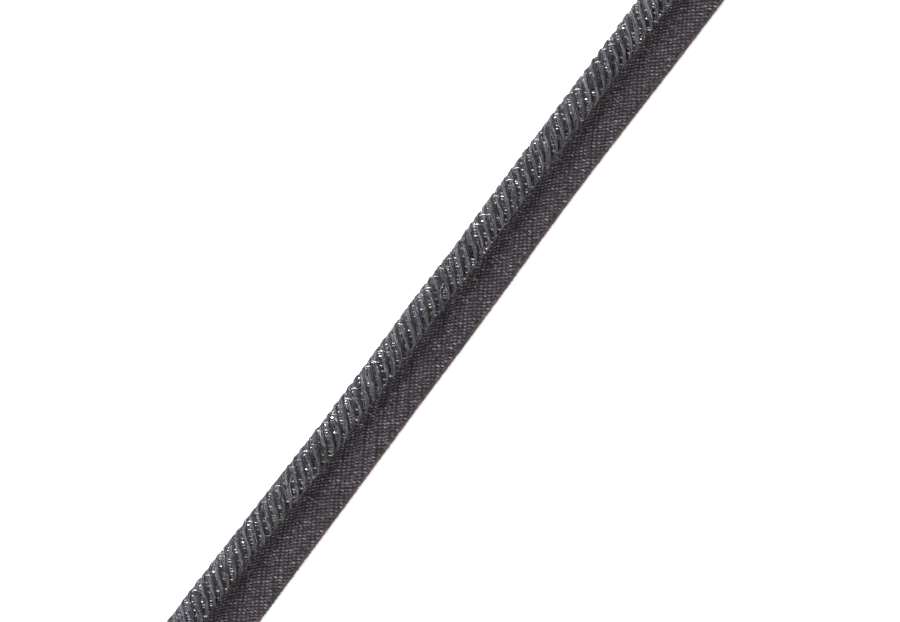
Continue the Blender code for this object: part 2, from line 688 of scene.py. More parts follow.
@cache
def dye_group() -> bpy.types.NodeTree:
    """Uneven dye: slow clouds in object space that carry one colour over to another, and fine specks."""
    group = new_group(
        "uneven_dye",
        {
            "Light": colour(0.2, 0.2, 0.2),
            "Dark": colour(0.1, 0.1, 0.1),
            "Cloud Scale": 250.0,
            "Speck Scale": 4000.0,
        },
        {"Color": "NodeSocketColor", "Mask": "NodeSocketFloat"},
    )
    sheet = NodeSheet(group)
    given = group.nodes["Group Input"].outputs
    place = sheet.add("ShaderNodeTexCoord").outputs["Object"]
    clouds = sheet.fed("ShaderNodeTexNoise", Vector=place, Scale=given["Cloud Scale"], Detail=2.0)
    specks = sheet.fed("ShaderNodeTexNoise", Vector=place, Scale=given["Speck Scale"], Detail=1.0)
    cloud_share = 0.55
    cloud = sheet.math("MULTIPLY", clouds.outputs["Fac"], cloud_share)
    speck = sheet.math("MULTIPLY", specks.outputs["Fac"], 1 - cloud_share)
    mask = sheet.stretch(sheet.math("ADD", cloud, speck), *NOISE_RANGE)
    tone = sheet.mix(mask, given["Dark"], given["Light"])
    sheet.feed(group.nodes["Group Output"], Color=tone, Mask=mask)
    return group


@cache
def fibre_group() -> bpy.types.NodeTree:
    """Fibres along a yarn: noise on the UV map, long in U and fine in V, as a height and a mask.

    The noise is read at (along U, around cos 2 pi w, around sin 2 pi w), with w = V + slant U, so the
    fibres join up round the yarn.
    """
    group = new_group(
        "yarn_fibres",
        {"Along": 400.0, "Around": 9.0, "Slant": 0.0},
        {"Height": "NodeSocketFloat", "Mask": "NodeSocketFloat"},
    )
    sheet = NodeSheet(group)
    given = group.nodes["Group Input"].outputs
    uv = sheet.axes("UV").outputs
    slanted = sheet.math("ADD", uv["Y"], sheet.math("MULTIPLY", uv["X"], given["Slant"]))
    turn = sheet.math("MULTIPLY", slanted, TAU)
    place = sheet.fed(
        "ShaderNodeCombineXYZ",
        X=sheet.math("MULTIPLY", uv["X"], given["Along"]),
        Y=sheet.math("MULTIPLY", sheet.math("COSINE", turn), given["Around"]),
        Z=sheet.math("MULTIPLY", sheet.math("SINE", turn), given["Around"]),
    )
    noise = sheet.fed("ShaderNodeTexNoise", Vector=place.outputs[0], Scale=1.0, Detail=3.0)
    height = noise.outputs["Fac"]
    sheet.feed(group.nodes["Group Output"], Height=height, Mask=sheet.stretch(height, *NOISE_RANGE))
    return group


@cache
def lot_group() -> bpy.types.NodeTree:
    """A tone for each thread, from the whole part of V, which also changes slowly along U.

    White noise gives each thread its own value, and each thread has its own line through a smooth
    noise. The mask is a mix of the two, by the share Own, raised to the power Rarity.
    """
    group = new_group(
        "thread_lots", {"Rarity": 2.0, "Change": 300.0, "Own": 0.7}, {"Mask": "NodeSocketFloat"}
    )
    sheet = NodeSheet(group)
    given = group.nodes["Group Input"].outputs
    uv = sheet.axes("UV").outputs
    thread = sheet.math("FLOOR", uv["Y"])
    lot = sheet.feed(sheet.add("ShaderNodeTexWhiteNoise", noise_dimensions="1D"), W=thread)
    place = sheet.fed(
        "ShaderNodeCombineXYZ",
        X=sheet.math("MULTIPLY", uv["X"], given["Change"]),
        Y=sheet.math("MULTIPLY", thread, PATCH_LINE_SPACING),
    )
    patches = sheet.fed("ShaderNodeTexNoise", Vector=place.outputs[0], Scale=1.0, Detail=1.0)
    patch = sheet.stretch(patches.outputs["Fac"], *PATCH_RANGE)
    own = sheet.math("MULTIPLY", lot.outputs["Value"], given["Own"])
    rest = sheet.math("MULTIPLY", patch, sheet.math("SUBTRACT", 1.0, given["Own"]))
    mask = sheet.math("POWER", sheet.math("ADD", own, rest), given["Rarity"])
    sheet.feed(group.nodes["Group Output"], Mask=mask)
    return group


@cache
def ribs_group() -> bpy.types.NodeTree:
    """Plain weave in relief: half of 1 + sin(2 pi x / pitch x) sin(2 pi y / pitch y), in object space."""
    group = new_group(
        "fine_ribs", {"Pitch X": 0.385 * MM, "Pitch Y": 0.3 * MM}, {"Height": "NodeSocketFloat"}
    )
    sheet = NodeSheet(group)
    given = group.nodes["Group Input"].outputs
    place = sheet.axes("Object").outputs
    waves = []
    for axis in ("X", "Y"):
        turns = sheet.math("DIVIDE", place[axis], given["Pitch " + axis])
        waves.append(sheet.math("SINE", sheet.math("MULTIPLY", turns, TAU)))
    height = sheet.math("ADD", sheet.math("MULTIPLY", sheet.math("MULTIPLY", *waves), 0.5), 0.5)
    sheet.feed(group.nodes["Group Output"], Height=height)
    return group


@dataclass(frozen=True)
class YarnFinish:
    """Dyed yarn: uneven colour, fibres along the thread, a soft sheen and a fibrous bump."""

    name: str
    light: tuple[float, float, float, float]
    dark: tuple[float, float, float, float]
    roughness: float = 0.65
    smoother: float = 0.08
    rougher: float = 0.12
    sheen: float = 0.3
    sheen_roughness: float = 0.4
    sheen_tint: tuple[float, float, float, float] = (0.75, 0.75, 0.85, 1.0)
    fibre_along: float = 300.0
    fibre_around: float = 6.0
    fibre_slant: float = 0.0
    cloud_scale: float = 250.0
    speck_scale: float = 5000.0
    bump: float = 0.5
    bump_height: float = 0.06 * MM
    fibre_shade: float = 0.55
    lot_tone: tuple[float, float, float, float] = (0.1, 0.1, 0.1, 1.0)
    lot_share: float = 0.0
    lot_rarity: float = 2.0
    lot_change: float = 350.0
    lot_own: float = 0.7
    specular: float = 0.35

    def make(self) -> bpy.types.Material:
        """Build the material.

        Returns:
            The new material.
        """
        material, sheet, shader = new_material(self.name)
        dye = sheet.use(
            dye_group(),
            Light=self.light,
            Dark=self.dark,
            Cloud_Scale=self.cloud_scale,
            Speck_Scale=self.speck_scale,
        )
        fibres = sheet.use(
            fibre_group(), Along=self.fibre_along, Around=self.fibre_around, Slant=self.fibre_slant
        )
        mask = fibres.outputs["Mask"]
        shade = sheet.math("MULTIPLY", mask, self.fibre_shade)
        tone = sheet.mix(shade, dye.outputs["Color"], self.dark)
        if self.lot_share > 0:
            lots = sheet.use(
                lot_group(), Rarity=self.lot_rarity, Change=self.lot_change, Own=self.lot_own
            )
            share = sheet.math("MULTIPLY", lots.outputs["Mask"], self.lot_share)
            tone = sheet.mix(share, tone, self.lot_tone)
        relief = sheet.fed(
            "ShaderNodeBump",
            Strength=self.bump,
            Distance=self.bump_height,
            Height=fibres.outputs["Height"],
        )
        smooth, rough = self.roughness - self.smoother, self.roughness + self.rougher
        sheet.feed(
            shader,
            Base_Color=tone,
            Roughness=sheet.spread(mask, smooth, rough),
            Normal=relief.outputs["Normal"],
            Sheen_Weight=self.sheen,
            Sheen_Roughness=self.sheen_roughness,
            Sheen_Tint=self.sheen_tint,
            Specular_IOR_Level=self.specular,
        )
        return material


@dataclass(frozen=True)
class ClothFinish:
    """The tape's ground: fine ribs in relief with painted shade between them, and uneven dye."""

    name: str = "tape_ground"
    light: tuple[float, float, float, float] = (0.033, 0.028, 0.034, 1.0)
    dark: tuple[float, float, float, float] = (0.008, 0.007, 0.008, 1.0)
    cloud_scale: float = 400.0
    speck_scale: float = 6000.0
    # painted shade: how far the hollows between the ribs go towards the dark tone
    painted_gap_shade: float = 0.75
    roughness: float = 0.8
    rough_spread: float = 0.1
    bump: float = 0.9
    bump_height: float = 0.10 * MM
    sheen: float = 0.05
    specular: float = 0.1

    def make(self) -> bpy.types.Material:
        """Build the material.

        Returns:
            The new material.
        """
        material, sheet, shader = new_material(self.name)
        dye = sheet.use(
            dye_group(),
            Light=self.light,
            Dark=self.dark,
            Cloud_Scale=self.cloud_scale,
            Speck_Scale=self.speck_scale,
        )
        height = sheet.use(ribs_group()).outputs["Height"]
        # Painted shade: the hollows between the ribs are darkened towards the dark tone.
        shade = sheet.spread(height, self.painted_gap_shade, 0.0)
        relief = sheet.fed(
            "ShaderNodeBump", Strength=self.bump, Distance=self.bump_height, Height=height
        )
        smooth, rough = self.roughness - self.rough_spread, self.roughness + self.rough_spread
        sheet.feed(
            shader,
            Base_Color=sheet.mix(shade, dye.outputs["Color"], self.dark),
            Roughness=sheet.spread(dye.outputs["Mask"], smooth, rough),
            Normal=relief.outputs["Normal"],
            Sheen_Weight=self.sheen,
            Specular_IOR_Level=self.specular,
        )
        return material


@dataclass(frozen=True)
class FoilFinish:
    """Flat metal foil wound on a thread: every turn has its own tone, with creases and dull spots."""

    name: str = "silver_foil"
    bright: tuple[float, float, float, float] = (0.78, 0.74, 0.70, 1.0)
    dull: tuple[float, float, float, float] = (0.020, 0.017, 0.016, 1.0)
    roughness: float = 0.24
    smoother: float = 0.1
    rougher: float = 0.14
    crease_scale: float = 4200.0
    wear_range: tuple[float, float] = (0.20, 0.46)
    bump: float = 0.6
    bump_height: float = 0.05 * MM

    def make(self) -> bpy.types.Material:
        """Build the material. U counts the turns of the foil, so its whole part picks a tone.

        Returns:
            The new material.
        """
        material, sheet, shader = new_material(self.name)
        turn = sheet.math("FLOOR", sheet.axes("UV").outputs["X"])
        lot = sheet.feed(sheet.add("ShaderNodeTexWhiteNoise", noise_dimensions="1D"), W=turn)
        place = sheet.add("ShaderNodeTexCoord").outputs["Object"]
        noise = sheet.fed("ShaderNodeTexNoise", Vector=place, Scale=self.crease_scale, Detail=2.0)
        creases = noise.outputs["Fac"]
        wear = sheet.stretch(sheet.math("MULTIPLY", lot.outputs["Value"], creases), *self.wear_range)
        relief = sheet.fed(
            "ShaderNodeBump", Strength=self.bump, Distance=self.bump_height, Height=creases
        )
        smooth, rough = self.roughness - self.smoother, self.roughness + self.rougher
        sheet.feed(
            shader,
            Base_Color=sheet.mix(wear, self.dull, self.bright),
            Metallic=1.0,
            Roughness=sheet.spread(creases, smooth, rough),
            Normal=relief.outputs["Normal"],
        )
        return material


@dataclass(frozen=True)
class FloorFinish:
    """Plain white paper under the trim."""

    name: str = "white_ground"
    shade: tuple[float, float, float, float] = (0.92, 0.92, 0.92, 1.0)
    roughness: float = 0.9
    specular: float = 0.1

    def make(self) -> bpy.types.Material:
        """Build the material.

        Returns:
            The new material.
        """
        material, sheet, shader = new_material(self.name)
        sheet.feed(
            shader, Base_Color=self.shade, Roughness=self.roughness, Specular_IOR_Level=self.specular
        )
        return material


PALE_FOIL = FoilFinish(name="pale_foil", bright=colour(0.62, 0.58, 0.53), dull=colour(0.10, 0.085, 0.07))
SOFT_YARN = YarnFinish(
    name="blue_grey_viscose",
    light=colour(0.021, 0.019, 0.031),
    dark=colour(0.005, 0.0045, 0.008),
    roughness=0.46,
    specular=0.28,
    sheen=0.10,
    fibre_along=700.0,
    fibre_slant=250.0,
    lot_tone=colour(0.362, 0.345, 0.458),
    lot_share=1.0,
    lot_rarity=3.6,
    lot_change=2200.0,
    lot_own=0.35,
)
CORE_YARN = YarnFinish(
    name="charcoal_core",
    light=colour(0.035, 0.032, 0.036),
    dark=colour(0.008, 0.007, 0.008),
    roughness=0.8,
    sheen=0.1,
    fibre_along=700.0,
    fibre_slant=250.0,
    bump=0.9,
)
CUT_YARN = YarnFinish(
    name="charcoal_cut_yarn",
    light=colour(0.034, 0.031, 0.034),
    dark=colour(0.008, 0.007, 0.008),
    roughness=0.9,
    speck_scale=9000.0,
    bump=0.9,
    lot_tone=colour(0.06, 0.057, 0.065),
    lot_share=0.8,
)
THREAD = YarnFinish(
    name="charcoal_thread",
    light=colour(0.022, 0.020, 0.020),
    dark=colour(0.005, 0.005, 0.005),
    roughness=0.7,
    sheen=0.08,
)
WOUND_THREAD = YarnFinish(
    name="brown_grey_wound_thread",
    light=colour(0.021, 0.018, 0.017),
    dark=colour(0.005, 0.004, 0.004),
    roughness=0.40,
    sheen=0.10,
    cloud_scale=600.0,
)
SEAM_THREAD = YarnFinish(
    name="brown_grey_sewing_thread",
    light=colour(0.026, 0.023, 0.021),
    dark=colour(0.010, 0.009, 0.008),
    roughness=0.6,
    sheen=0.1,
)
TAPE_YARN = YarnFinish(
    name="plum_charcoal_twill",
    light=colour(0.096, 0.081, 0.099),
    dark=colour(0.018, 0.015, 0.019),
    roughness=0.32,
    specular=0.5,
    sheen=0.1,
    fibre_along=500.0,
    fibre_around=5.0,
    fibre_slant=500.0,
    lot_tone=colour(0.440, 0.402, 0.460),
    lot_share=0.6,
    lot_rarity=3.0,
)
LOW_YARN = YarnFinish(
    name="dark_plum_twill",
    light=colour(0.034, 0.029, 0.036),
    dark=colour(0.009, 0.007, 0.009),
    roughness=0.45,
    specular=0.35,
    sheen=0.05,
    lot_tone=colour(0.130, 0.117, 0.136),
    lot_share=0.5,
    lot_rarity=3.0,
    fibre_along=500.0,
    fibre_around=5.0,
    fibre_slant=500.0,
)
EDGE_YARN = YarnFinish(
    name="brown_selvedge_yarn",
    light=colour(0.170, 0.104, 0.076),
    dark=colour(0.040, 0.024, 0.018),
    roughness=0.6,
    sheen=0.1,
    lot_tone=colour(0.014, 0.011, 0.010),
    lot_share=1.0,
    lot_rarity=0.8,
    fibre_along=500.0,
    fibre_around=5.0,
    fibre_slant=500.0,
)
PALE_FIBRE = YarnFinish(
    name="pale_fibre",
    light=colour(0.34, 0.33, 0.38),
    dark=colour(0.12, 0.11, 0.13),
    roughness=0.4,
    sheen=0.2,
    lot_tone=colour(0.016, 0.013, 0.013),
    lot_share=1.0,
    lot_rarity=0.8,
)
OLIVE_FIBRE = YarnFinish(
    name="olive_brown_fibre",
    light=colour(0.120, 0.106, 0.086),
    dark=colour(0.026, 0.022, 0.018),
    roughness=0.5,
    sheen=0.1,
    lot_tone=colour(0.015, 0.012, 0.011),
    lot_share=1.0,
    lot_rarity=1.2,
)
STRAY_FIBRE = YarnFinish(
    name="pale_stray_fibre",
    light=colour(0.30, 0.29, 0.29),
    dark=colour(0.16, 0.15, 0.15),
    roughness=0.4,
    sheen=0.2,
)


# Pieces


@dataclass
class Piece:
    """A finished piece, with its material slot and the body it rides on."""

    obj: bpy.types.Object
    slot: Slot
    rides_on: str = "root"

    def settle(self) -> bpy.types.Object:
        """Tie the piece to its body.

        Returns:
            The piece's object.
        """
        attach(self.obj, self.rides_on)
        LOG.info("%s: %d faces", self.obj.name, len(self.obj.data.polygons))
        return self.obj


# The cord


@dataclass
class CordCore:
    """The dark core that fills the cord under its yarns."""

    form: CordForm
    radius: float = 3.2 * MM
    ring_spacing: float = 1.5 * MM
    sides: int = 24
    recess: float = 0.5 * MM
    cut_yarns: int = 52
    cut_yarn_radius: float = 0.43 * MM
    cut_yarn_sides: int = 9
    cut_yarn_depth: float = 1.0 * MM
    cut_yarn_taper: tuple[float, ...] = (1.0, 1.0, 0.84, 0.45)
    cut_margin: float = 0.2 * MM
    first_spot: float = 0.4
    tips_in_mm: tuple[float, float] = (-0.22, 0.16)
    tip_steps: tuple[float, float] = (0.06 * MM, 0.09 * MM)
    raggedness: float = 0.035 * MM
    girth_range: tuple[float, float] = (0.85, 1.1)
    girth_noise: float = 0.10
    route_points: int = 60

    def build(self) -> bpy.types.Object:
        """Make the core as a round tube: x along, and angle and radius round the centre line.

        Returns:
            The core's object.
        """
        half = self.form.lie.cut_length / 2 - self.recess
        along = evenly_spaced(half, self.ring_spacing)
        angle = round_angles(self.sides)
        points = self.form.surface(along, angle, self.radius)[None]
        shape = tubes(points, along[:, 0])
        return Piece(shape.to_object("cord_core", CORE_YARN.make(), sharp_deg=60), Slot.CORD).settle()

    def cut_ends(self) -> bpy.types.Object:
        """Make the inner yarns' ends at the two cuts: short stubs on a sunflower pattern.

        Stub k stands at radius R sqrt((k + first) / n) and at k times the golden angle, which is
        pi (3 - sqrt 5). Its four rings are its root, its tip's rim and two narrower rings.

        Returns:
            The stubs' object.
        """
        rng = Seed.CORE_CUTS.source()
        half = self.form.lie.cut_length / 2
        count, sides = self.cut_yarns, self.cut_yarn_sides
        number = np.arange(count)
        spot_radius = (self.radius - self.cut_margin) * np.sqrt((number + self.first_spot) / count)
        spot_angle = number * math.pi * (3 - math.sqrt(5))
        spot_y = (spot_radius * np.sin(spot_angle))[:, None, None]
        spot_z = (spot_radius * np.cos(spot_angle))[:, None, None]
        turn = round_angles(sides)
        taper = np.array(self.cut_yarn_taper)[None, :, None]
        rings = len(self.cut_yarn_taper)
        free = np.array([0, 1, 1, 1])[:, None]
        shapes = []
        for side in (-1, 1):
            tip = rng.uniform(*self.tips_in_mm, (count, 1)) * MM
            root = np.full_like(tip, -self.cut_yarn_depth)
            out = np.concatenate((root, tip, *(tip + step for step in self.tip_steps)), axis=1)[..., None]
            out = out + rng.normal(0, self.raggedness, (count, rings, sides)) * free
            girth = self.cut_yarn_radius * rng.uniform(*self.girth_range, (count, 1, 1))
            girth = girth * (1 + rng.normal(0, self.girth_noise, (count, 1, sides))) * taper
            y = float(self.form.lie.cord(np.array([side * half]))[0]) + spot_y + girth * np.sin(turn)
            z = self.form.lie.centre_height + spot_z + girth * np.cos(turn)
            points = np.stack((side * (half + out), y, z), axis=-1)
            shapes.append(tubes(points, np.array([0.0, 1.0, 1.1, 1.2]) * MM, first_lot=1))
        obj = Shape.joined(shapes).to_object("cord_cut_yarns", CUT_YARN.make(), sharp_deg=45)
        return Piece(obj, Slot.CORD).settle()

    def declare(self, yarns: Sequence[bpy.types.Object]) -> None:
        """Hide the imported cord, and sample the core's centre line, which nothing uses.

        Args:
            yarns: not used.
        """
        half = self.form.lie.cut_length / 2
        along = np.linspace(-half, half, self.route_points)
        route = self.form.surface(along, np.zeros_like(along), np.zeros_like(along))
        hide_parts("twisted_cord")


@dataclass
class SoftYarns:
    """Six soft matt yarns, each of five loosely laid plies, and a dark filler yarn beside each one."""

    form: CordForm
    centre_radius: float = 3.57 * MM
    ring_width: float = 0.39 * MM
    ring_height: float = 0.30 * MM
    ply_radius: float = 0.180 * MM
    plies: int = 5
    ply_lead: float = 10 * MM
    ring_spacing: float = 0.60 * MM
    sides: int = 5
    filler_offset: float = math.radians(-19)
    filler_centre: float = 3.04 * MM
    filler_radius: float = 0.40 * MM
    filler_spacing: float = 0.9 * MM
    filler_sides: int = 8
    filler_recess: float = 0.2 * MM
    filler_swell: Drift = Drift(0.16, 1.7 * MM, seed=1000)
    swell: Drift = Drift(0.32, 2.3 * MM, seed=100)
    fine_swell: Drift = Drift(0.14, 0.9 * MM, seed=140)
    drift: Drift = Drift(0.17 * MM, 3.1 * MM, seed=200)
    rise: Drift = Drift(0.12 * MM, 2.1 * MM, seed=300)
    stray: Drift = Drift(1.0, 1.4 * MM, seed=800)
    stray_turn: float = 0.55
    stray_girth: float = 0.22
    nub: Drift = Drift(0.22, 0.8 * MM, seed=900)

    def build(self) -> list[bpy.types.Object]:
        """Make one yarn for each strand.

        Returns:
            The yarns' objects.
        """
        material = SOFT_YARN.make()
        dark = CORE_YARN.make()
        made = []
        for strand in range(self.form.strands):
            parts = ((self._yarn(strand), material), (self._filler(strand), dark))
            made.append(Piece(in_several_finishes(f"soft_yarn_{strand + 1}", parts), Slot.CORD).settle())
        return made

    def _filler(self, strand: int) -> Shape:
        """Make the filler in the groove: a round dark yarn that is thicker in some places.

        Args:
            strand: the strand's number, from 0.

        Returns:
            The yarn as one shape.
        """
        half = self.form.lie.cut_length / 2 - self.filler_recess
        along = evenly_spaced(half, self.filler_spacing)
        run = along / math.cos(self.form.lay(self.filler_centre))
        around = round_angles(self.filler_sides)
        radius = self.filler_radius * (1 + self.filler_swell.at(along, strand))
        offset = strand * TAU / self.form.strands + self.filler_offset
        points = self.form.yarn_section(
            along, offset, self.filler_centre, radius * np.cos(around), radius * np.sin(around)
        )
        return tubes(points[None], run[:, 0], first_lot=1)

    def _yarn(self, strand: int) -> Shape:
        """Make one yarn.

        Each ply is a round thread whose middle goes round an ellipse once for each ply lead. The
        ellipse swells and shrinks slowly along the yarn. Every ply strays and has nubs of its own.

        Args:
            strand: the strand's number, from 0.

        Returns:
            The plies as one shape.
        """
        half = self.form.lie.cut_length / 2
        along = evenly_spaced(half, self.ring_spacing)
        run = along / math.cos(self.form.lay(self.centre_radius))
        swell = 1 + self.swell.at(along, strand) + self.fine_swell.at(along, strand)
        drift = self.drift.at(along, strand)
        rise = self.rise.at(along, strand)
        number = np.arange(self.plies)
        stray = np.stack([self.stray.at(along, strand * 10 + ply) for ply in number])
        nubs = np.stack([self.nub.at(along, strand * 10 + ply) for ply in number])
        turn = number[:, None, None] * TAU / self.plies + run * TAU / self.ply_lead
        turn = turn + self.stray_turn * stray
        around = round_angles(self.sides)
        radius = self.ply_radius * (1 + self.stray_girth * stray + nubs)
        sideways = drift + swell * self.ring_width * np.cos(turn) + radius * np.cos(around)
        outward = rise + swell * self.ring_height * np.sin(turn) + radius * np.sin(around)
        offset = strand * TAU / self.form.strands
        points = self.form.yarn_section(along, offset, self.centre_radius, sideways, outward)
        return tubes(points, run[:, 0], first_lot=1 + strand * self.plies)


@dataclass
class MetallicYarns:
    """Six dark threads, each beside a soft yarn and wound with a flat metal foil and a fine thread.

    Pale foil bindings cross the strands over them.
    """

    form: CordForm
    centre_radius: float = 3.42 * MM
    beside: float = math.radians(20.5)
    half_width: float = 0.41 * MM
    half_height: float = 0.38 * MM
    body_share: float = 0.78
    ring_spacing: float = 0.9 * MM
    sides: int = 8
    turns_per_lead: float = 34.0
    drift: Drift = Drift(0.16 * MM, 3.4 * MM, seed=400)
    depth: Drift = Drift(0.15 * MM, 3.8 * MM, seed=430)
    turn_drift: Drift = Drift(0.55, 2.2 * MM, seed=450)
    winding_margin: float = 0.6 * MM
    winding_steps: int = 7
    wound_radius: float = 0.105 * MM
    wound_sides: int = 4
    wound_sink: Drift = Drift(0.06 * MM, 1.1, seed=650)
    wound_slide: Drift = Drift(0.10 * MM, 0.9, seed=670)
    foil_half_width: float = 0.115 * MM
    foil_half_thickness: float = 0.03 * MM
    foil_lift: float = 0.09 * MM
    foil_tip: Drift = Drift(math.radians(38), 0.55, seed=500)
    foil_sink: Drift = Drift(0.07 * MM, 1.1, seed=600)
    foil_breadth: Drift = Drift(0.5, 0.7, seed=700)
    foil_slide: Drift = Drift(0.14 * MM, 0.7, seed=750)
    bindings_per_lead: int = 3
    binding_place: float = math.radians(9)
    binding_angle: float = math.radians(46)
    binding_half_span: float = 1.12 * MM
    binding_half_width: float = 0.14 * MM
    binding_radius: float = 4.08 * MM
    binding_lean: float = -0.25
    binding_steps: int = 9
    binding_margin: float = 2 * MM
    binding_jitter: float = 0.38 * MM
    binding_span_noise: float = 0.14
    binding_rise: float = 0.10 * MM
    binding_dive: float = 0.95 * MM
    binding_curve: float = 0.96
    binding_bow: float = 0.05 * MM
    binding_tip: float = math.radians(8)

    def build(self) -> list[bpy.types.Object]:
        """Make a thread with its two windings for each strand.

        Returns:
            The threads' and windings' objects.
        """
        thread = THREAD.make()
        wound = WOUND_THREAD.make()
        foil = FoilFinish().make()
        made = []
        for strand in range(self.form.strands):
            offset = strand * TAU / self.form.strands + self.beside
            made.append(self._thread(strand, offset, thread, wound))
            made.append(self._foil(strand, offset, foil))
        return made

    def _thread(
        self, strand: int, offset: float, material: bpy.types.Material, wound: bpy.types.Material
    ) -> bpy.types.Object:
        """Make the dark thread and the fine thread that is wound round it between the foil's turns.

        The dark thread is an ellipse. The fine one is a round thread on the same helix as the foil,
        half a turn behind it.

        Args:
            strand: the strand's number, from 0.
            offset: the thread's angle round the cord.
            material: the dark thread's material.
            wound: the fine thread's material.

        Returns:
            The thread's object.
        """
        half = self.form.lie.cut_length / 2
        along = evenly_spaced(half, self.ring_spacing)
        run = along / math.cos(self.form.lay(self.centre_radius))
        turn = round_angles(self.sides)
        sideways = self.drift.at(along, strand) + self.body_share * self.half_width * np.cos(turn)
        outward = self.depth.at(along, strand) + self.body_share * self.half_height * np.sin(turn)
        points = self.form.yarn_section(along, offset, self.centre_radius, sideways, outward)[None]
        body = tubes(points, run[:, 0], first_lot=1)

        places, turns = self._helix(strand)
        around = round_angles(self.wound_sides)
        slide = self.wound_slide.at(turns, strand)[:, None]
        sink = self.wound_sink.at(turns, strand)[:, None]
        lengthways = self.wound_radius * np.cos(around) + slide
        proud = self.wound_radius * np.sin(around) + sink
        points = self._wound(places, turns + 0.5, strand, offset, lengthways, proud)
        fine = tubes(points, turns * MM, first_lot=2)
        name = f"metallic_thread_{strand + 1}"
        return Piece(in_several_finishes(name, ((body, material), (fine, wound))), Slot.CORD).settle()

    def _helix(self, strand: int) -> tuple[np.ndarray, np.ndarray]:
        """Places along the cord at each step of a winding, and the turns counted there.

        The count grows evenly, and wanders a little so that the turns are not evenly spaced.

        Args:
            strand: the strand's number, from 0.

        Returns:
            Two arrays (n,): X of each step, and the turns.
        """
        half = self.form.lie.cut_length / 2 - self.winding_margin
        count = int(2 * half / self.form.lead * self.turns_per_lead * self.winding_steps)
        along = np.linspace(-half, half, count)
        drift = self.turn_drift.at(along, strand) + strand / self.form.strands
        return along, along / self.form.lead * self.turns_per_lead + drift

    def _wound(
        self,
        along: np.ndarray,
        turns: np.ndarray,
        strand: int,
        offset: float,
        lengthways: np.ndarray,
        proud: np.ndarray,
    ) -> np.ndarray:
        """Rings of something whose middle goes round the dark thread's ellipse once a turn.

        Args:
            along: X of each ring.
            turns: the turns counted at each ring.
            strand: the strand's number, from 0.
            offset: the thread's angle round the cord.
            lengthways: the section's coordinates along the thread, (n, m).
            proud: the section's coordinates square to the thread's surface, (n, m).

        Returns:
            Points (1, n, m, 3).
        """
        winding = -turns[:, None] * TAU
        sideways = self.drift.at(along, strand)[:, None] + (self.half_width + proud) * np.sin(winding)
        outward = self.depth.at(along, strand)[:, None] + (self.half_height + proud) * np.cos(winding)
        angle = self.form.angle(along, offset)[:, None]
        reach = self.centre_radius + outward
        line = along[:, None]
        return self.form.beside_yarn(line, angle, self.centre_radius, lengthways, sideways, reach)[None]

    def bindings(self) -> bpy.types.Object:
        """Make the foil bindings: short arcs that cross a strand, three to each turn of every strand.

        An arc's middle line stands over the strand as the square root of 1 - c u^2, for u from -1 to
        1 across it and c just below 1, so its ends dive between the strands. It leans as the foil
        does.

        Returns:
            The bindings' object.
        """
        form = self.form
        rng = Seed.BINDINGS.source()
        half = form.lie.cut_length / 2 - self.binding_margin
        step = form.lead / self.bindings_per_lead
        shoulder = self.binding_angle * form.lead / TAU
        number = np.arange(int(2 * half / step))
        starts = []
        offsets = []
        for strand in range(form.strands):
            turned = strand * TAU / form.strands + self.binding_place
            start = (shoulder - turned * form.lead / TAU) % step
            starts.append(start + number * step - half + (half % step))
            offsets.append(np.full(len(number), turned))
        along, offset = np.concatenate(starts), np.concatenate(offsets)
        kept = (along > -half) & (along < half)
        along = along[kept] + rng.normal(0, self.binding_jitter, kept.sum())
        count = len(along)

        u = np.linspace(-1, 1, self.binding_steps)
        reach = self.binding_half_span * (1 + rng.normal(0, self.binding_span_noise, (count, 1)))
        sideways = reach * u
        proud = self.binding_rise * rng.uniform(-0.2, 1.1, (count, 1))
        proud = proud + self.binding_dive * (np.sqrt(1 - self.binding_curve * u * u) - 1)
        lengthways = self.binding_lean * sideways + rng.normal(0, self.binding_bow, (count, 1)) * u * u
        tip = rng.normal(0, self.binding_tip, (count, 1, 1))
        edge = self.binding_half_width * RIBBON_EDGE
        skin = self.foil_half_thickness * RIBBON_SKIN
        points = form.beside_yarn(
            along[:, None, None],
            (form.angle(along, 0.0) + offset[kept])[:, None, None],
            self.binding_radius,
            lengthways[..., None] + edge * np.cos(tip),
            sideways[..., None],
            self.binding_radius + proud[..., None] + skin + edge * np.sin(tip),
        )
        shape = tubes(points, np.arange(count)[:, None] + 0.5 + 0 * u)
        return Piece(shape.to_object("foil_bindings", PALE_FOIL.make()), Slot.CORD).settle()

    def _foil(self, strand: int, offset: float, material: bpy.types.Material) -> bpy.types.Object:
        """Make the foil: a flat ribbon wound round the thread.

        Each turn is tipped, sunk, shifted and narrowed by its own small amount. U counts the turns,
        from a thousand of its own for each strand, so every turn has its own tone.

        Args:
            strand: the strand's number, from 0.
            offset: the thread's angle round the cord.
            material: its material.

        Returns:
            The foil's object.
        """
        along, turns = self._helix(strand)
        tip = self.foil_tip.at(turns, strand)[:, None]
        sink = self.foil_sink.at(turns, strand)[:, None]
        slide = self.foil_slide.at(turns, strand)[:, None]
        breadth = self.foil_half_width * (1 + self.foil_breadth.at(turns, strand))[:, None]
        edge = breadth * RIBBON_EDGE
        skin = self.foil_half_thickness * RIBBON_SKIN
        lift = self.foil_lift + skin + sink + edge * np.sin(tip)
        points = self._wound(along, turns, strand, offset, slide + edge * np.cos(tip), lift)
        shape = tubes(points, turns + 0.5 + 1000 * (strand + 1))
        name = f"foil_winding_{strand + 1}"
        return Piece(shape.to_object(name, material, sharp_deg=50), Slot.CORD).settle()


# The tape


@dataclass(frozen=True)
class Float:
    """One of the twill's two sets of floats: its grains' sizes, and their place in the repeat.

    The column is a share of the columns' pitch along the tape, and the place a share of the floats'
    repeat across it.
    """

    half_length: float
    half_width: float
    half_height: float
    column: float
    place: float


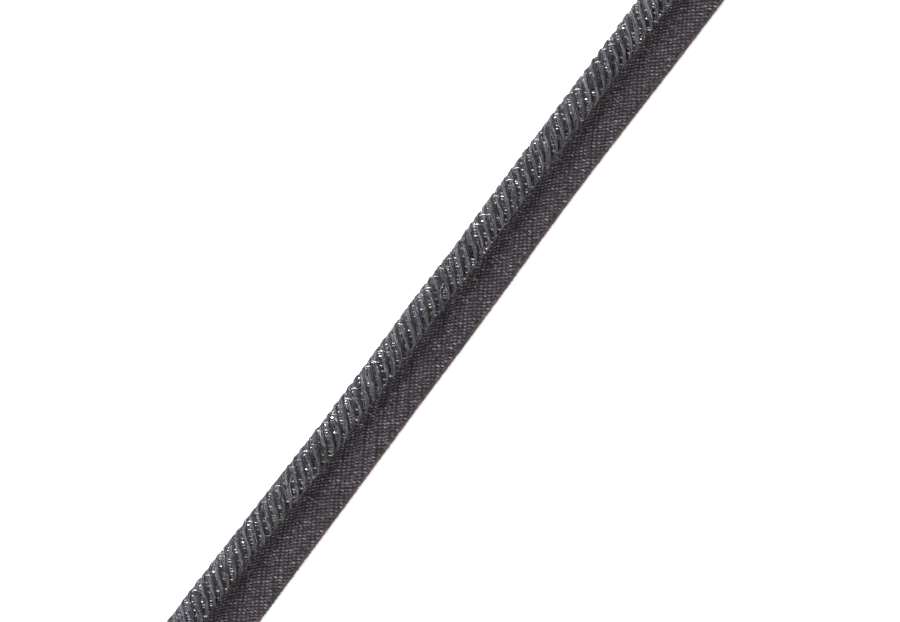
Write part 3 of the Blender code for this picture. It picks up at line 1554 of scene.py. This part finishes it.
@dataclass
class LipTape:
    """The woven tape: a cloth ground with twill floats on both faces and weft turns at its edge."""

    form: TapeForm
    cloth_half: float = 0.36 * MM
    rim_rings: int = 5
    section_spacing: float = 2.0 * MM
    section_steps: int = 18
    column_pitch: float = 0.77 * MM
    column_start: float = 0.6
    column_shift: float = 0.42 * MM
    widest: float = 12 * MM
    float_repeat: float = 1.14 * MM
    repeat_growth: float = 14.0
    missing_share: float = 0.02
    high_float: Float = Float(
        half_length=0.40 * MM, half_width=0.19 * MM, half_height=0.22 * MM, column=0.0, place=0.0
    )
    low_float: Float = Float(
        half_length=0.46 * MM, half_width=0.20 * MM, half_height=0.15 * MM, column=0.5, place=0.32
    )
    float_margins: tuple[float, float] = (0.35 * MM, 0.6 * MM)
    float_skew: Drift = Drift(0.24 * MM, 3.5 * MM, seed=81)
    skew_slant: float = 1.7
    float_jitter: tuple[float, float] = (0.06 * MM, 0.08 * MM)
    float_size_noise: float = 0.16
    float_lean: float = math.radians(20)
    float_lean_noise: float = math.radians(7)
    float_end: float = 0.88
    float_bluntness: float = 0.7
    float_sink: float = 0.01 * MM
    float_sides: int = 4
    upper_rings: int = 4
    under_rings: int = 3
    under_relief: float = 0.42
    smooth_band: float = 3.4 * MM
    smooth_relief: float = 0.35
    end_margin: float = 0.02 * MM
    turn_pitch: float = 0.385 * MM
    turn_radius: float = 0.18 * MM
    turn_rings: int = 6
    turn_sides: int = 5
    turn_reach: float = 0.46 * MM
    turn_setback: float = 0.30 * MM
    turn_lifts: tuple[float, float] = (0.37 * MM, 0.30 * MM)
    turn_slant: float = 0.12 * MM
    turn_jitter: float = 0.04 * MM
    warp_pitch: float = 0.40 * MM
    warp_radius: float = 0.18 * MM
    warp_sides: int = 6
    warp_row: float = 0.17 * MM
    warp_depth: float = 0.5 * MM
    warp_jitter: float = 0.03 * MM
    warp_girth_noise: float = 0.14
    thread_change: float = 7.0

    def cloth(self) -> bpy.types.Object:
        """Make the ground cloth: a closed sheet, thin at its free edge.

        A ring goes out over the upper face, round the edge, and back under it. The edge is a half
        ellipse.

        Returns:
            The cloth's object.
        """
        half = self.form.lie.cut_length / 2
        along = evenly_spaced(half, self.section_spacing)
        width = self.form.width(along)
        share = np.linspace(0, 1, self.section_steps)
        out = share * (width - self.cloth_half)
        bend = np.linspace(math.pi / 2, -math.pi / 2, self.rim_rings + 2)[1:-1]
        rim = width - self.cloth_half + self.cloth_half * np.cos(bend)
        rim_lift = self.cloth_half * np.sin(bend)
        distance = np.concatenate((out, rim, out[:, ::-1]), axis=1)
        flat = np.full(self.section_steps, self.cloth_half)
        lift = np.concatenate((flat, rim_lift, -flat))
        points = self.form.surface(along, distance, np.broadcast_to(lift, distance.shape))[None]
        shape = tubes(points, along[:, 0])
        cloth = Piece(shape.to_object("tape_cloth", ClothFinish().make(), sharp_deg=60), Slot.TAPE).settle()
        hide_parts("lip_tape")
        return cloth

    def floats(
        self, face: TapeFace, material: bpy.types.Material, low_material: bpy.types.Material
    ) -> bpy.types.Object:
        """Make one face's floats: high ones on a slanted lattice, and low dark ones between them.

        Args:
            face: the tape's face.
            material: the high floats' material.
            low_material: the low floats' material.

        Returns:
            The floats' object.
        """
        rng = (Seed.UPPER_FLOATS if face is TapeFace.UPPER else Seed.UNDER_FLOATS).source()
        high = self._grains(face, rng, self.high_float)
        low = self._grains(face, rng, self.low_float)
        parts = ((high, material), (low, low_material))
        return Piece(in_several_finishes("twill_floats_" + face.name.lower(), parts), Slot.TAPE).settle()

    def _grains(self, face: TapeFace, rng: np.random.Generator, kind: Float) -> Shape:
        """Make one set of floats as small grains.

        Column i stands at i times the pitch, and its floats repeat across the tape, each column
        shifted a little towards the cord. A place q grows to q (1 + growth q), so the floats are
        wider apart towards the free edge. A grain's ring at angle u stands at sin u and has the
        radius cos u to the power of its bluntness. In the smooth band beside the cord the grains are
        lower, and on the under face they are lower everywhere, where the trim rests on them.

        Args:
            face: the tape's face.
            rng: the source of their small differences.
            kind: the floats' sizes.

        Returns:
            The grains as one shape.
        """
        half = self.form.lie.cut_length / 2
        columns = np.arange(int(2 * half / self.column_pitch) - 1) + kind.column
        along = (columns + self.column_start) * self.column_pitch - half
        reach = int((columns[-1] * self.column_shift + self.widest) / self.float_repeat)
        rows = np.arange(-reach, reach)
        shift = columns[:, None] * self.column_shift * face.value
        place = (rows[None, :] + kind.place) * self.float_repeat - shift
        place = place * (1 + self.repeat_growth * np.clip(place, 0, None))
        first, last = self.float_margins
        inside = (place > first) & (place < self.form.width(along)[:, None] - last)
        inside = inside & (rng.random(place.shape) > self.missing_share)
        centre_x = np.broadcast_to(along[:, None], place.shape)[inside]
        centre_d = place[inside]
        count = len(centre_x)
        skew = self.float_skew.at(centre_x + self.skew_slant * centre_d)
        jitter_x, jitter_d = self.float_jitter
        centre_x = centre_x + rng.normal(0, jitter_x, count)
        centre_d = centre_d + skew + rng.normal(0, jitter_d, count)
        size = np.clip(rng.normal(1, self.float_size_noise, (count, 1, 1)), 0.6, 1.4)
        lean = self.float_lean + rng.normal(0, self.float_lean_noise, (count, 1, 1))
        free = np.clip(centre_d / self.smooth_band, 0, 1)
        relief = size * (self.smooth_relief + (1 - self.smooth_relief) * free)[:, None, None]
        if face is TapeFace.UNDER:
            relief = relief * self.under_relief

        rings = self.upper_rings if face is TapeFace.UPPER else self.under_rings
        u = np.linspace(-math.pi / 2 * self.float_end, math.pi / 2 * self.float_end, rings)[:, None]
        v = round_angles(self.float_sides)
        girth = np.cos(u) ** self.float_bluntness
        stretch = (1 + self.repeat_growth * centre_d)[:, None, None]
        lengthways = kind.half_length * np.sin(u) * np.ones_like(v) * stretch
        breadth = kind.half_width * girth * np.cos(v)
        proud = kind.half_height * girth * np.sin(v)
        dx = (lengthways * np.sin(lean) + breadth * np.cos(lean)) * size
        dd = (lengthways * np.cos(lean) - breadth * np.sin(lean)) * size
        lift = face.value * (self.cloth_half - self.float_sink + proud[None] * relief)
        limit = half - self.end_margin
        x = np.clip(centre_x[:, None, None] + dx * face.value, -limit, limit)
        points = self.form.surface(x, centre_d[:, None, None] + dd, lift)
        lengthwise = np.linspace(0, 1, rings) * MM + centre_x[:, None] * self.thread_change
        return tubes(points, lengthwise, first_lot=1)

    def edge_turns(self, material: bpy.types.Material) -> bpy.types.Object:
        """Make the weft turns at the free edge: short threads bent from one face to the other.

        A turn's line is four fifths of an ellipse round the cloth's edge, flatter on the under face,
        and its ends dive into the cloth.

        Args:
            material: the turns' material.

        Returns:
            The turns' object.
        """
        rng = Seed.EDGE_TURNS.source()
        half = self.form.lie.cut_length / 2
        count = int(2 * half / self.turn_pitch) - 1
        along = (np.arange(count)[:, None] + 1.0) * self.turn_pitch - half
        along = along + rng.normal(0, 0.03 * MM, (count, 1))
        bend = np.linspace(-math.pi * 0.8, math.pi * 0.8, self.turn_rings)
        jitter = rng.normal(0, self.turn_jitter, (count, 1))
        distance = self.form.width(along) - self.turn_setback + jitter + self.turn_reach * np.cos(bend)
        lift = np.where(bend > 0, *self.turn_lifts) * np.sin(bend)
        slant = self.turn_slant * np.sin(bend)
        x = along + slant + rng.normal(0, self.turn_jitter, (count, self.turn_rings))
        centres = self.form.surface(x, distance, lift)
        radius = self.turn_radius * rng.uniform(0.85, 1.1, (count, 1))
        lengthwise = np.linspace(0, 1, self.turn_rings) * MM + along * self.thread_change
        shape = tubes(round_thread(centres, radius, self.turn_sides), lengthwise, first_lot=1)
        return Piece(shape.to_object("tape_edge_turns", material), Slot.TAPE).settle()

    def cut_ends(self, material: bpy.types.Material) -> bpy.types.Object:
        """Make the warp threads' ends at the two cuts: two rows of short stubs with narrowed tips.

        Args:
            material: the stubs' material.

        Returns:
            The stubs' object.
        """
        rng = Seed.TAPE_CUTS.source()
        half = self.form.lie.cut_length / 2
        width = float(self.form.width(np.array([half]))[0])
        across = np.arange(0.35 * MM, width - 0.3 * MM, self.warp_pitch)
        place = np.tile(across, 4)
        row = np.repeat([-1, 1, -1, 1], len(across)) * self.warp_row
        side = np.repeat([-1, -1, 1, 1], len(across))
        count, sides = len(place), self.warp_sides
        tip = rng.uniform(-0.02, 0.30, (count, 1)) * MM
        out = np.concatenate((np.full((count, 1), -self.warp_depth), tip, tip + 0.05 * MM), axis=1)
        turn = round_angles(sides)
        girth = self.warp_radius * np.array([1.0, 1.0, 0.7])[None, :, None]
        girth = girth * (1 + rng.normal(0, self.warp_girth_noise, (count, 1, sides)))
        x = side[:, None, None] * (half + out[..., None]) + 0 * turn
        place = (place + rng.normal(0, self.warp_jitter, count))[:, None, None]
        row = (row + rng.normal(0, self.warp_jitter, count))[:, None, None]
        points = self.form.surface(x, place + girth * np.cos(turn), row + girth * np.sin(turn))
        lengthwise = np.array([0.0, 1.0, 1.2]) * MM
        shapes = [tubes(points[side == end], lengthwise, first_lot=1) for end in (-1, 1)]
        return Piece(Shape.joined(shapes).to_object("tape_cut_yarns", material), Slot.TAPE).settle()

    def build(self) -> list[bpy.types.Object]:
        """Returns:
            The tape's objects, the cloth first.
        """
        yarn = TAPE_YARN.make()
        cloth = self.cloth()
        low = LOW_YARN.make()
        others = [self.floats(face, yarn, low) for face in TapeFace]
        others += [self.edge_turns(EDGE_YARN.make()), self.cut_ends(low)]
        float(self.form.width(np.array([0.0]))[0])
        return [cloth, *others]


@dataclass
class Seam:
    """The whip stitch that holds the tape to the cord: one thread wound over the tape's edge."""

    cord: CordForm
    tape: TapeForm
    pitch: float = 0.77 * MM
    middle: float = 0.05 * MM
    reach: float = 0.72 * MM
    lift: float = 0.46 * MM
    slant: float = 0.75
    thread_radius: float = 0.13 * MM
    thread_sides: int = 5
    steps: int = 6
    end_margin: float = 0.9 * MM
    stitch_size: Drift = Drift(0.16, 4.0, seed=71)

    def build(self) -> bpy.types.Object:
        """Make the thread: an ellipse round the tape's edge, carried along the seam.

        Returns:
            The thread's object.
        """
        half = self.cord.lie.cut_length / 2 - self.end_margin
        turns = int(2 * half / self.pitch)
        theta = np.linspace(0, turns * TAU, turns * self.steps + 1)
        along = -turns * self.pitch / 2 + theta * self.pitch / TAU
        swing = self.reach * (1 + self.stitch_size.at(theta)) * np.cos(theta)
        lift = self.lift * np.sin(theta)
        lean = self.slant * swing
        centres = self.tape.surface(along + lean, self.middle + swing, lift)[None]
        shape = tubes(round_thread(centres, np.float64(self.thread_radius), self.thread_sides), along)
        return Piece(shape.to_object("seam_thread", SEAM_THREAD.make()), Slot.CORD).settle()


# Fibres


@dataclass(frozen=True)
class Stray:
    """A fibre that stands out on its own, in millimetres, with its turn from +X in degrees."""

    along: float
    across: float
    height: float
    length: float
    turn: float
    fall: float
    girth: float


STRAYS = (
    Stray(along=14.1, across=0.4, height=4.4, length=2.3, turn=-53, fall=1.2, girth=0.14),
    Stray(along=-36.0, across=0.5, height=6.0, length=5.0, turn=-75, fall=4.2, girth=0.10),
    Stray(along=-63.4, across=4.9, height=7.9, length=5.8, turn=37, fall=0.1, girth=0.12),
    Stray(along=-65.9, across=2.7, height=7.2, length=1.6, turn=-10, fall=0.6, girth=0.12),
    Stray(along=11.4, across=-1.05, height=1.4, length=0.5, turn=-40, fall=0.0, girth=0.30),
    Stray(along=9.8, across=-2.6, height=1.2, length=0.5, turn=20, fall=0.0, girth=0.26),
    Stray(along=5.3, across=-3.5, height=1.15, length=0.5, turn=-60, fall=0.0, girth=0.26),
)


@dataclass
class Fibres:
    """Fine fibres: fuzz on the cord and the tape's edge, loose filaments, a tangle and long strays.

    Sizes whose names end in _mm are in millimetres.
    """

    cord: CordForm
    tape: TapeForm
    fuzz_count: int = 1900
    edge_count: int = 420
    filament_count: int = 3000
    tangle_count: int = 1200
    stray_count: int = 26
    rings: int = 4
    laid_rings: int = 5
    stray_rings: int = 14
    fibre_sides: int = 3
    stray_sides: int = 4
    fuzz_margin: float = 0.5 * MM
    filament_margin: float = 6 * MM
    stray_margin: float = 8 * MM
    fuzz_root: float = 3.85 * MM
    laid_root: float = 3.90 * MM
    stray_root: float = 4.04 * MM
    longest_fuzz: float = 1.5 * MM
    fuzz_radii_mm: tuple[float, float] = (0.015, 0.035)
    edge_fuzz_radius: float = 0.016 * MM
    filament_radii_mm: tuple[float, float] = (0.035, 0.085)
    filament_travels_mm: tuple[float, float] = (0.8, 3.4)
    near_share: float = 0.6
    tangle_radii_mm: tuple[float, float] = (0.025, 0.060)
    tangle_sector: tuple[float, float] = (-1.50, -0.70)
    laid_lifts_mm: tuple[float, float] = (0.06, 0.30)
    stray_radius: float = 0.030 * MM

    def _bundle(
        self,
        roots: np.ndarray,
        heading: np.ndarray,
        bend: np.ndarray,
        length: np.ndarray,
        radius: np.ndarray,
    ) -> Shape:
        """Thin tapered threads: root + heading L t + bend L t^2, for t from 0 to 1.

        Args:
            roots: array (k, 3).
            heading: array (k, 3), the direction at the root.
            bend: array (k, 3), what the direction gains towards the tip.
            length: array (k,).
            radius: array (k,), at the root.

        Returns:
            The threads as one shape.
        """
        t = np.linspace(0, 1, self.rings)[None, :, None]
        run = length[:, None, None] * t
        centres = roots[:, None, :] + heading[:, None, :] * run + bend[:, None, :] * run * t
        centres[..., 2] = np.maximum(centres[..., 2], radius[:, None])
        taper = radius[:, None] * (1 - 0.6 * t[..., 0])
        return tubes(round_thread(centres, taper, self.fibre_sides), t[0, :, 0] * MM, first_lot=1)

    def fuzz(self, material: bpy.types.Material) -> bpy.types.Object:
        """Make the short fuzz that stands off the cord and the tape's free edge.

        Args:
            material: the fibres' material.

        Returns:
            The fuzz's object.
        """
        rng = Seed.FUZZ.source()
        half = self.cord.lie.cut_length / 2 - self.fuzz_margin
        count = self.fuzz_count
        along = rng.uniform(-half, half, count)
        strand = rng.integers(0, self.cord.strands, count) * TAU / self.cord.strands
        angle = self.cord.angle(along, 0.0) + strand + rng.normal(0, 0.12, count)
        roots = self.cord.surface(along, angle, np.full(count, self.fuzz_root))
        outward = np.stack((np.zeros(count), np.sin(angle), np.cos(angle)), axis=-1)
        heading = unit(outward * 0.55 + rng.normal(0, 0.75, (count, 3)))
        bend = rng.normal(0, 0.9, (count, 3))
        length = np.minimum(rng.gamma(3.0, 0.22 * MM, count), self.longest_fuzz)
        radius = rng.uniform(*self.fuzz_radii_mm, count) * MM
        cord_fuzz = self._bundle(roots, heading, bend, length, radius)

        count = self.edge_count
        along = rng.uniform(-half, half, count)
        edge = self.tape.width(along) - 0.1 * MM
        roots = self.tape.surface(along, edge, rng.uniform(-0.3, 0.3, count) * MM)
        heading = unit(np.array([0.0, -0.6, 0.1]) + rng.normal(0, 0.6, (count, 3)))
        bend = rng.normal(0, 0.5, (count, 3))
        length = np.minimum(rng.gamma(2.5, 0.14 * MM, count), self.longest_fuzz)
        edge_fuzz = self._bundle(roots, heading, bend, length, np.full(count, self.edge_fuzz_radius))
        shape = Shape.joined((cord_fuzz, edge_fuzz))
        return Piece(shape.to_object("fuzz", material), Slot.CORD).settle()

    def filaments(self, material: bpy.types.Material) -> bpy.types.Object:
        """Make loose filaments along the strands, and an olive tangle on the side towards the lip.

        Most of the filaments keep to the soft yarns. The tangle's threads cross the strands.

        Args:
            material: the filaments' material.

        Returns:
            The filaments' object.
        """
        rng = Seed.FILAMENTS.source()
        half = self.cord.lie.cut_length / 2 - self.filament_margin
        count = self.filament_count
        along = rng.uniform(-half, half, count)
        travel = rng.uniform(*self.filament_travels_mm, count) * MM
        strand = rng.integers(0, self.cord.strands, count) * TAU / self.cord.strands
        near = rng.normal(0.07, 0.12, count)
        slip = np.where(rng.random(count) < self.near_share, near, rng.uniform(-0.15, 0.47, count))
        swing = self.cord.angle(travel, 0.0) + rng.normal(0, 0.16, count)
        radius = rng.uniform(*self.filament_radii_mm, count) * MM
        angle = self.cord.angle(along, 0.0) + strand + slip
        filaments = self._laid(rng, along, angle, travel, swing, radius)

        count = self.tangle_count
        along = rng.uniform(-half, half, count)
        travel = rng.normal(0, 0.8, count) * MM
        swing = rng.normal(0, 0.20, count)
        angle = rng.uniform(*self.tangle_sector, count)
        radius = rng.uniform(*self.tangle_radii_mm, count) * MM
        tangle = self._laid(rng, along, angle, travel, swing, radius)
        parts = ((filaments, material), (tangle, OLIVE_FIBRE.make()))
        return Piece(in_several_finishes("loose_filaments", parts), Slot.CORD).settle()

    def _laid(
        self,
        rng: np.random.Generator,
        along: np.ndarray,
        angle: np.ndarray,
        travel: np.ndarray,
        swing: np.ndarray,
        radius: np.ndarray,
    ) -> Shape:
        """Threads laid on the cord with their ends pressed in.

        For t from 0 to 1 a thread lies at along + travel (t - 1/2) and angle + swing (t - 1/2), and
        stands proud by its lift times sin(pi t).

        Args:
            rng: the source of their lifts.
            along: X of each thread's middle.
            angle: its middle's angle round the cord.
            travel: how far it goes along the cord.
            swing: how far it turns round the cord.
            radius: its radius.

        Returns:
            The threads as one shape.
        """
        t = np.linspace(0, 1, self.laid_rings)
        places = along[:, None] + travel[:, None] * (t - 0.5)
        turned = angle[:, None] + swing[:, None] * (t - 0.5)
        proud = rng.uniform(*self.laid_lifts_mm, (len(along), 1)) * MM * np.sin(math.pi * t)
        centres = self.cord.surface(places, turned, self.laid_root + proud)
        return tubes(round_thread(centres, radius[:, None], self.fibre_sides), t * MM, first_lot=1)

    def _placed_strays(self) -> Shape:
        """The strays that stand out one by one: t from -1 to 1 along a thread, bent by 1 - t^2."""
        columns = ("along", "across", "height", "length", "fall", "girth")
        table = np.array([[getattr(row, column) for column in columns] for row in STRAYS])
        turn = np.radians([row.turn for row in STRAYS])[:, None]
        t = np.linspace(-1, 1, self.stray_rings)
        along, across, height, length, fall, girth = (table * MM).T[..., None]
        bow = 0.10 * length * (1 - t * t)
        x = along + length / 2 * t * np.cos(turn) - bow * np.sin(turn)
        y = across + length / 2 * t * np.sin(turn) + bow * np.cos(turn)
        z = height - fall * (t + 1) / 2 + 0.3 * bow
        centres = np.stack((x, y, z), axis=-1)
        return tubes(round_thread(centres, girth / 2, self.stray_sides), t * MM, first_lot=1)

    def strays(self, material: bpy.types.Material) -> bpy.types.Object:
        """Make a few long pale fibres that lie over the strands, and those placed one by one.

        Each follows the cord's surface: its angle and place go on in a slow curve.

        Args:
            material: the fibres' material.

        Returns:
            The strays' object.
        """
        rng = Seed.STRAYS.source()
        count = self.stray_count
        half = self.cord.lie.cut_length / 2 - self.stray_margin
        t = np.linspace(0, 1, self.stray_rings)
        start = rng.uniform(-half, half, count)[:, None]
        side = rng.uniform(-1.0, 0.9, count)[:, None]
        swing = rng.normal(0.75, 0.45, count)[:, None]
        travel = rng.uniform(0.5, 3.5, count)[:, None] * MM
        wave = rng.uniform(0.05, 0.25, count)[:, None]
        angle = side + swing * (t - 0.5) + wave * np.sin(t * 4.2)
        along = start + travel * t + 0.4 * MM * np.sin(t * 3.0 + side)
        height = self.stray_root + 0.18 * MM * t**3
        centres = self.cord.surface(along, angle, np.broadcast_to(height, angle.shape))
        scattered = tubes(round_thread(centres, np.float64(self.stray_radius), self.stray_sides), t * MM)
        shape = Shape.joined((scattered, self._placed_strays()))
        return Piece(shape.to_object("stray_fibres", material), Slot.CORD).settle()

    def build(self) -> list[bpy.types.Object]:
        """Make all the fibres.

        Returns:
            Their objects.
        """
        material = PALE_FIBRE.make()
        return [self.fuzz(material), self.filaments(material), self.strays(STRAY_FIBRE.make())]


# The studio


@dataclass(frozen=True)
class Softbox:
    """A soft rectangular light that faces the trim: place and size in metres, power in watts."""

    name: str
    place: tuple[float, float, float]
    size: tuple[float, float]
    power: float

    def hang(self) -> None:
        """Add the light to the scene."""
        data = bpy.data.lights.new(self.name, "AREA")
        data.shape = "RECTANGLE"
        data.size, data.size_y = self.size
        data.energy = self.power
        light = bpy.data.objects.new(self.name, data)
        light.location = self.place
        light.rotation_euler = (-Vector(self.place)).to_track_quat("-Z", "Y").to_euler()
        bpy.context.scene.collection.objects.link(light)


@dataclass
class Studio:
    """The white ground, soft light from the photo's upper left and a camera straight above."""

    metres_per_pixel: float = 0.274 * MM
    photo_width: int = 900
    trim_angle: float = math.atan2(0.8009, 0.5988)
    aim: tuple[float, float, float] = (0.4 * MM, -1.05 * MM, 2.5 * MM)
    lens: float = 100.0
    sensor: float = 36.0
    ground_size: float = 8.0
    ground_drop: float = 0.05 * MM
    softboxes: tuple[Softbox, ...] = (
        Softbox("key", place=(0.11, 0.59, 0.66), size=(0.38, 0.38), power=14.0),
        Softbox("low_strip", place=(0.05, 0.80, 0.13), size=(0.60, 0.12), power=4.0),
        Softbox("fill", place=(-0.25, -0.75, 0.55), size=(0.60, 0.60), power=4.0),
    )
    dome_low: tuple[float, float, float, float] = colour(0.80, 0.80, 0.80)
    dome_high: tuple[float, float, float, float] = colour(0.22, 0.22, 0.22)
    dome_strength: float = 2.0

    def camera(self) -> bpy.types.Object:
        """Place the camera over the trim, turned so that the trim runs up to the right.

        The distance is that at which the sensor sees the photo's width in metres.

        Returns:
            The camera's object.
        """
        data = bpy.data.cameras.new("camera")
        data.lens = self.lens
        data.sensor_width = self.sensor
        data.clip_start = 0.01
        camera = bpy.data.objects.new("camera", data)
        bpy.context.scene.collection.objects.link(camera)
        width = self.metres_per_pixel * self.photo_width
        distance = width * self.lens / self.sensor
        place = Matrix.Translation(Vector(self.aim) + Vector((0, 0, distance)))
        camera.matrix_world = place @ Matrix.Rotation(-self.trim_angle, 4, "Z")
        bpy.context.scene.camera = camera
        return camera

    def ground(self) -> bpy.types.Object:
        """Lay the white ground just under the trim.

        Returns:
            The ground's object.
        """
        half = self.ground_size / 2
        mesh = bpy.data.meshes.new("ground")
        corners = [(-half, -half), (half, -half), (half, half), (-half, half)]
        mesh.from_pydata([(x, y, -self.ground_drop) for x, y in corners], [], [(0, 1, 2, 3)])
        mesh.materials.append(FloorFinish().make())
        ground = bpy.data.objects.new("ground", mesh)
        bpy.context.scene.collection.objects.link(ground)
        return ground

    def lights(self) -> None:
        """Set a key light and a low strip at the photo's upper left, a weak fill, and a pale dome.

        The dome is darker overhead than at the horizon, as in a room with white walls.
        """
        for softbox in self.softboxes:
            softbox.hang()
        world = bpy.data.worlds.new("dome")
        bpy.context.scene.world = world
        world.use_nodes = True
        sheet = NodeSheet(world.node_tree)
        rise = sheet.stretch(sheet.axes("Generated").outputs["Z"], 0.25, 0.95)
        tone = sheet.mix(rise, self.dome_low, self.dome_high)
        sheet.feed(world.node_tree.nodes["Background"], Color=tone, Strength=self.dome_strength)

    def build(self) -> None:
        """Set up the whole studio."""
        self.camera()
        self.ground()
        self.lights()
        scene = bpy.context.scene
        scene.view_settings.view_transform = "Standard"
        scene.view_settings.look = "None"


def main() -> None:
    """Build the studio, the cord, the tape, the seam and the fibres."""
    logging.basicConfig(level=logging.INFO, format="%(name)s: %(message)s")
    lie = Lie()
    cord_form = CordForm(lie)
    tape_form = TapeForm(lie)
    Studio().build()

    core_maker = CordCore(cord_form)
    core = core_maker.build()
    metallic = MetallicYarns(cord_form)
    yarns = SoftYarns(cord_form).build() + metallic.build() + [metallic.bindings()]
    LipTape(tape_form).build()
    seam = Seam(cord_form, tape_form).build()
    fibres = Fibres(cord_form, tape_form).build()
    core_maker.declare([core_maker.cut_ends(), *yarns, seam, *fibres])


if __name__ == "__main__":
    main()
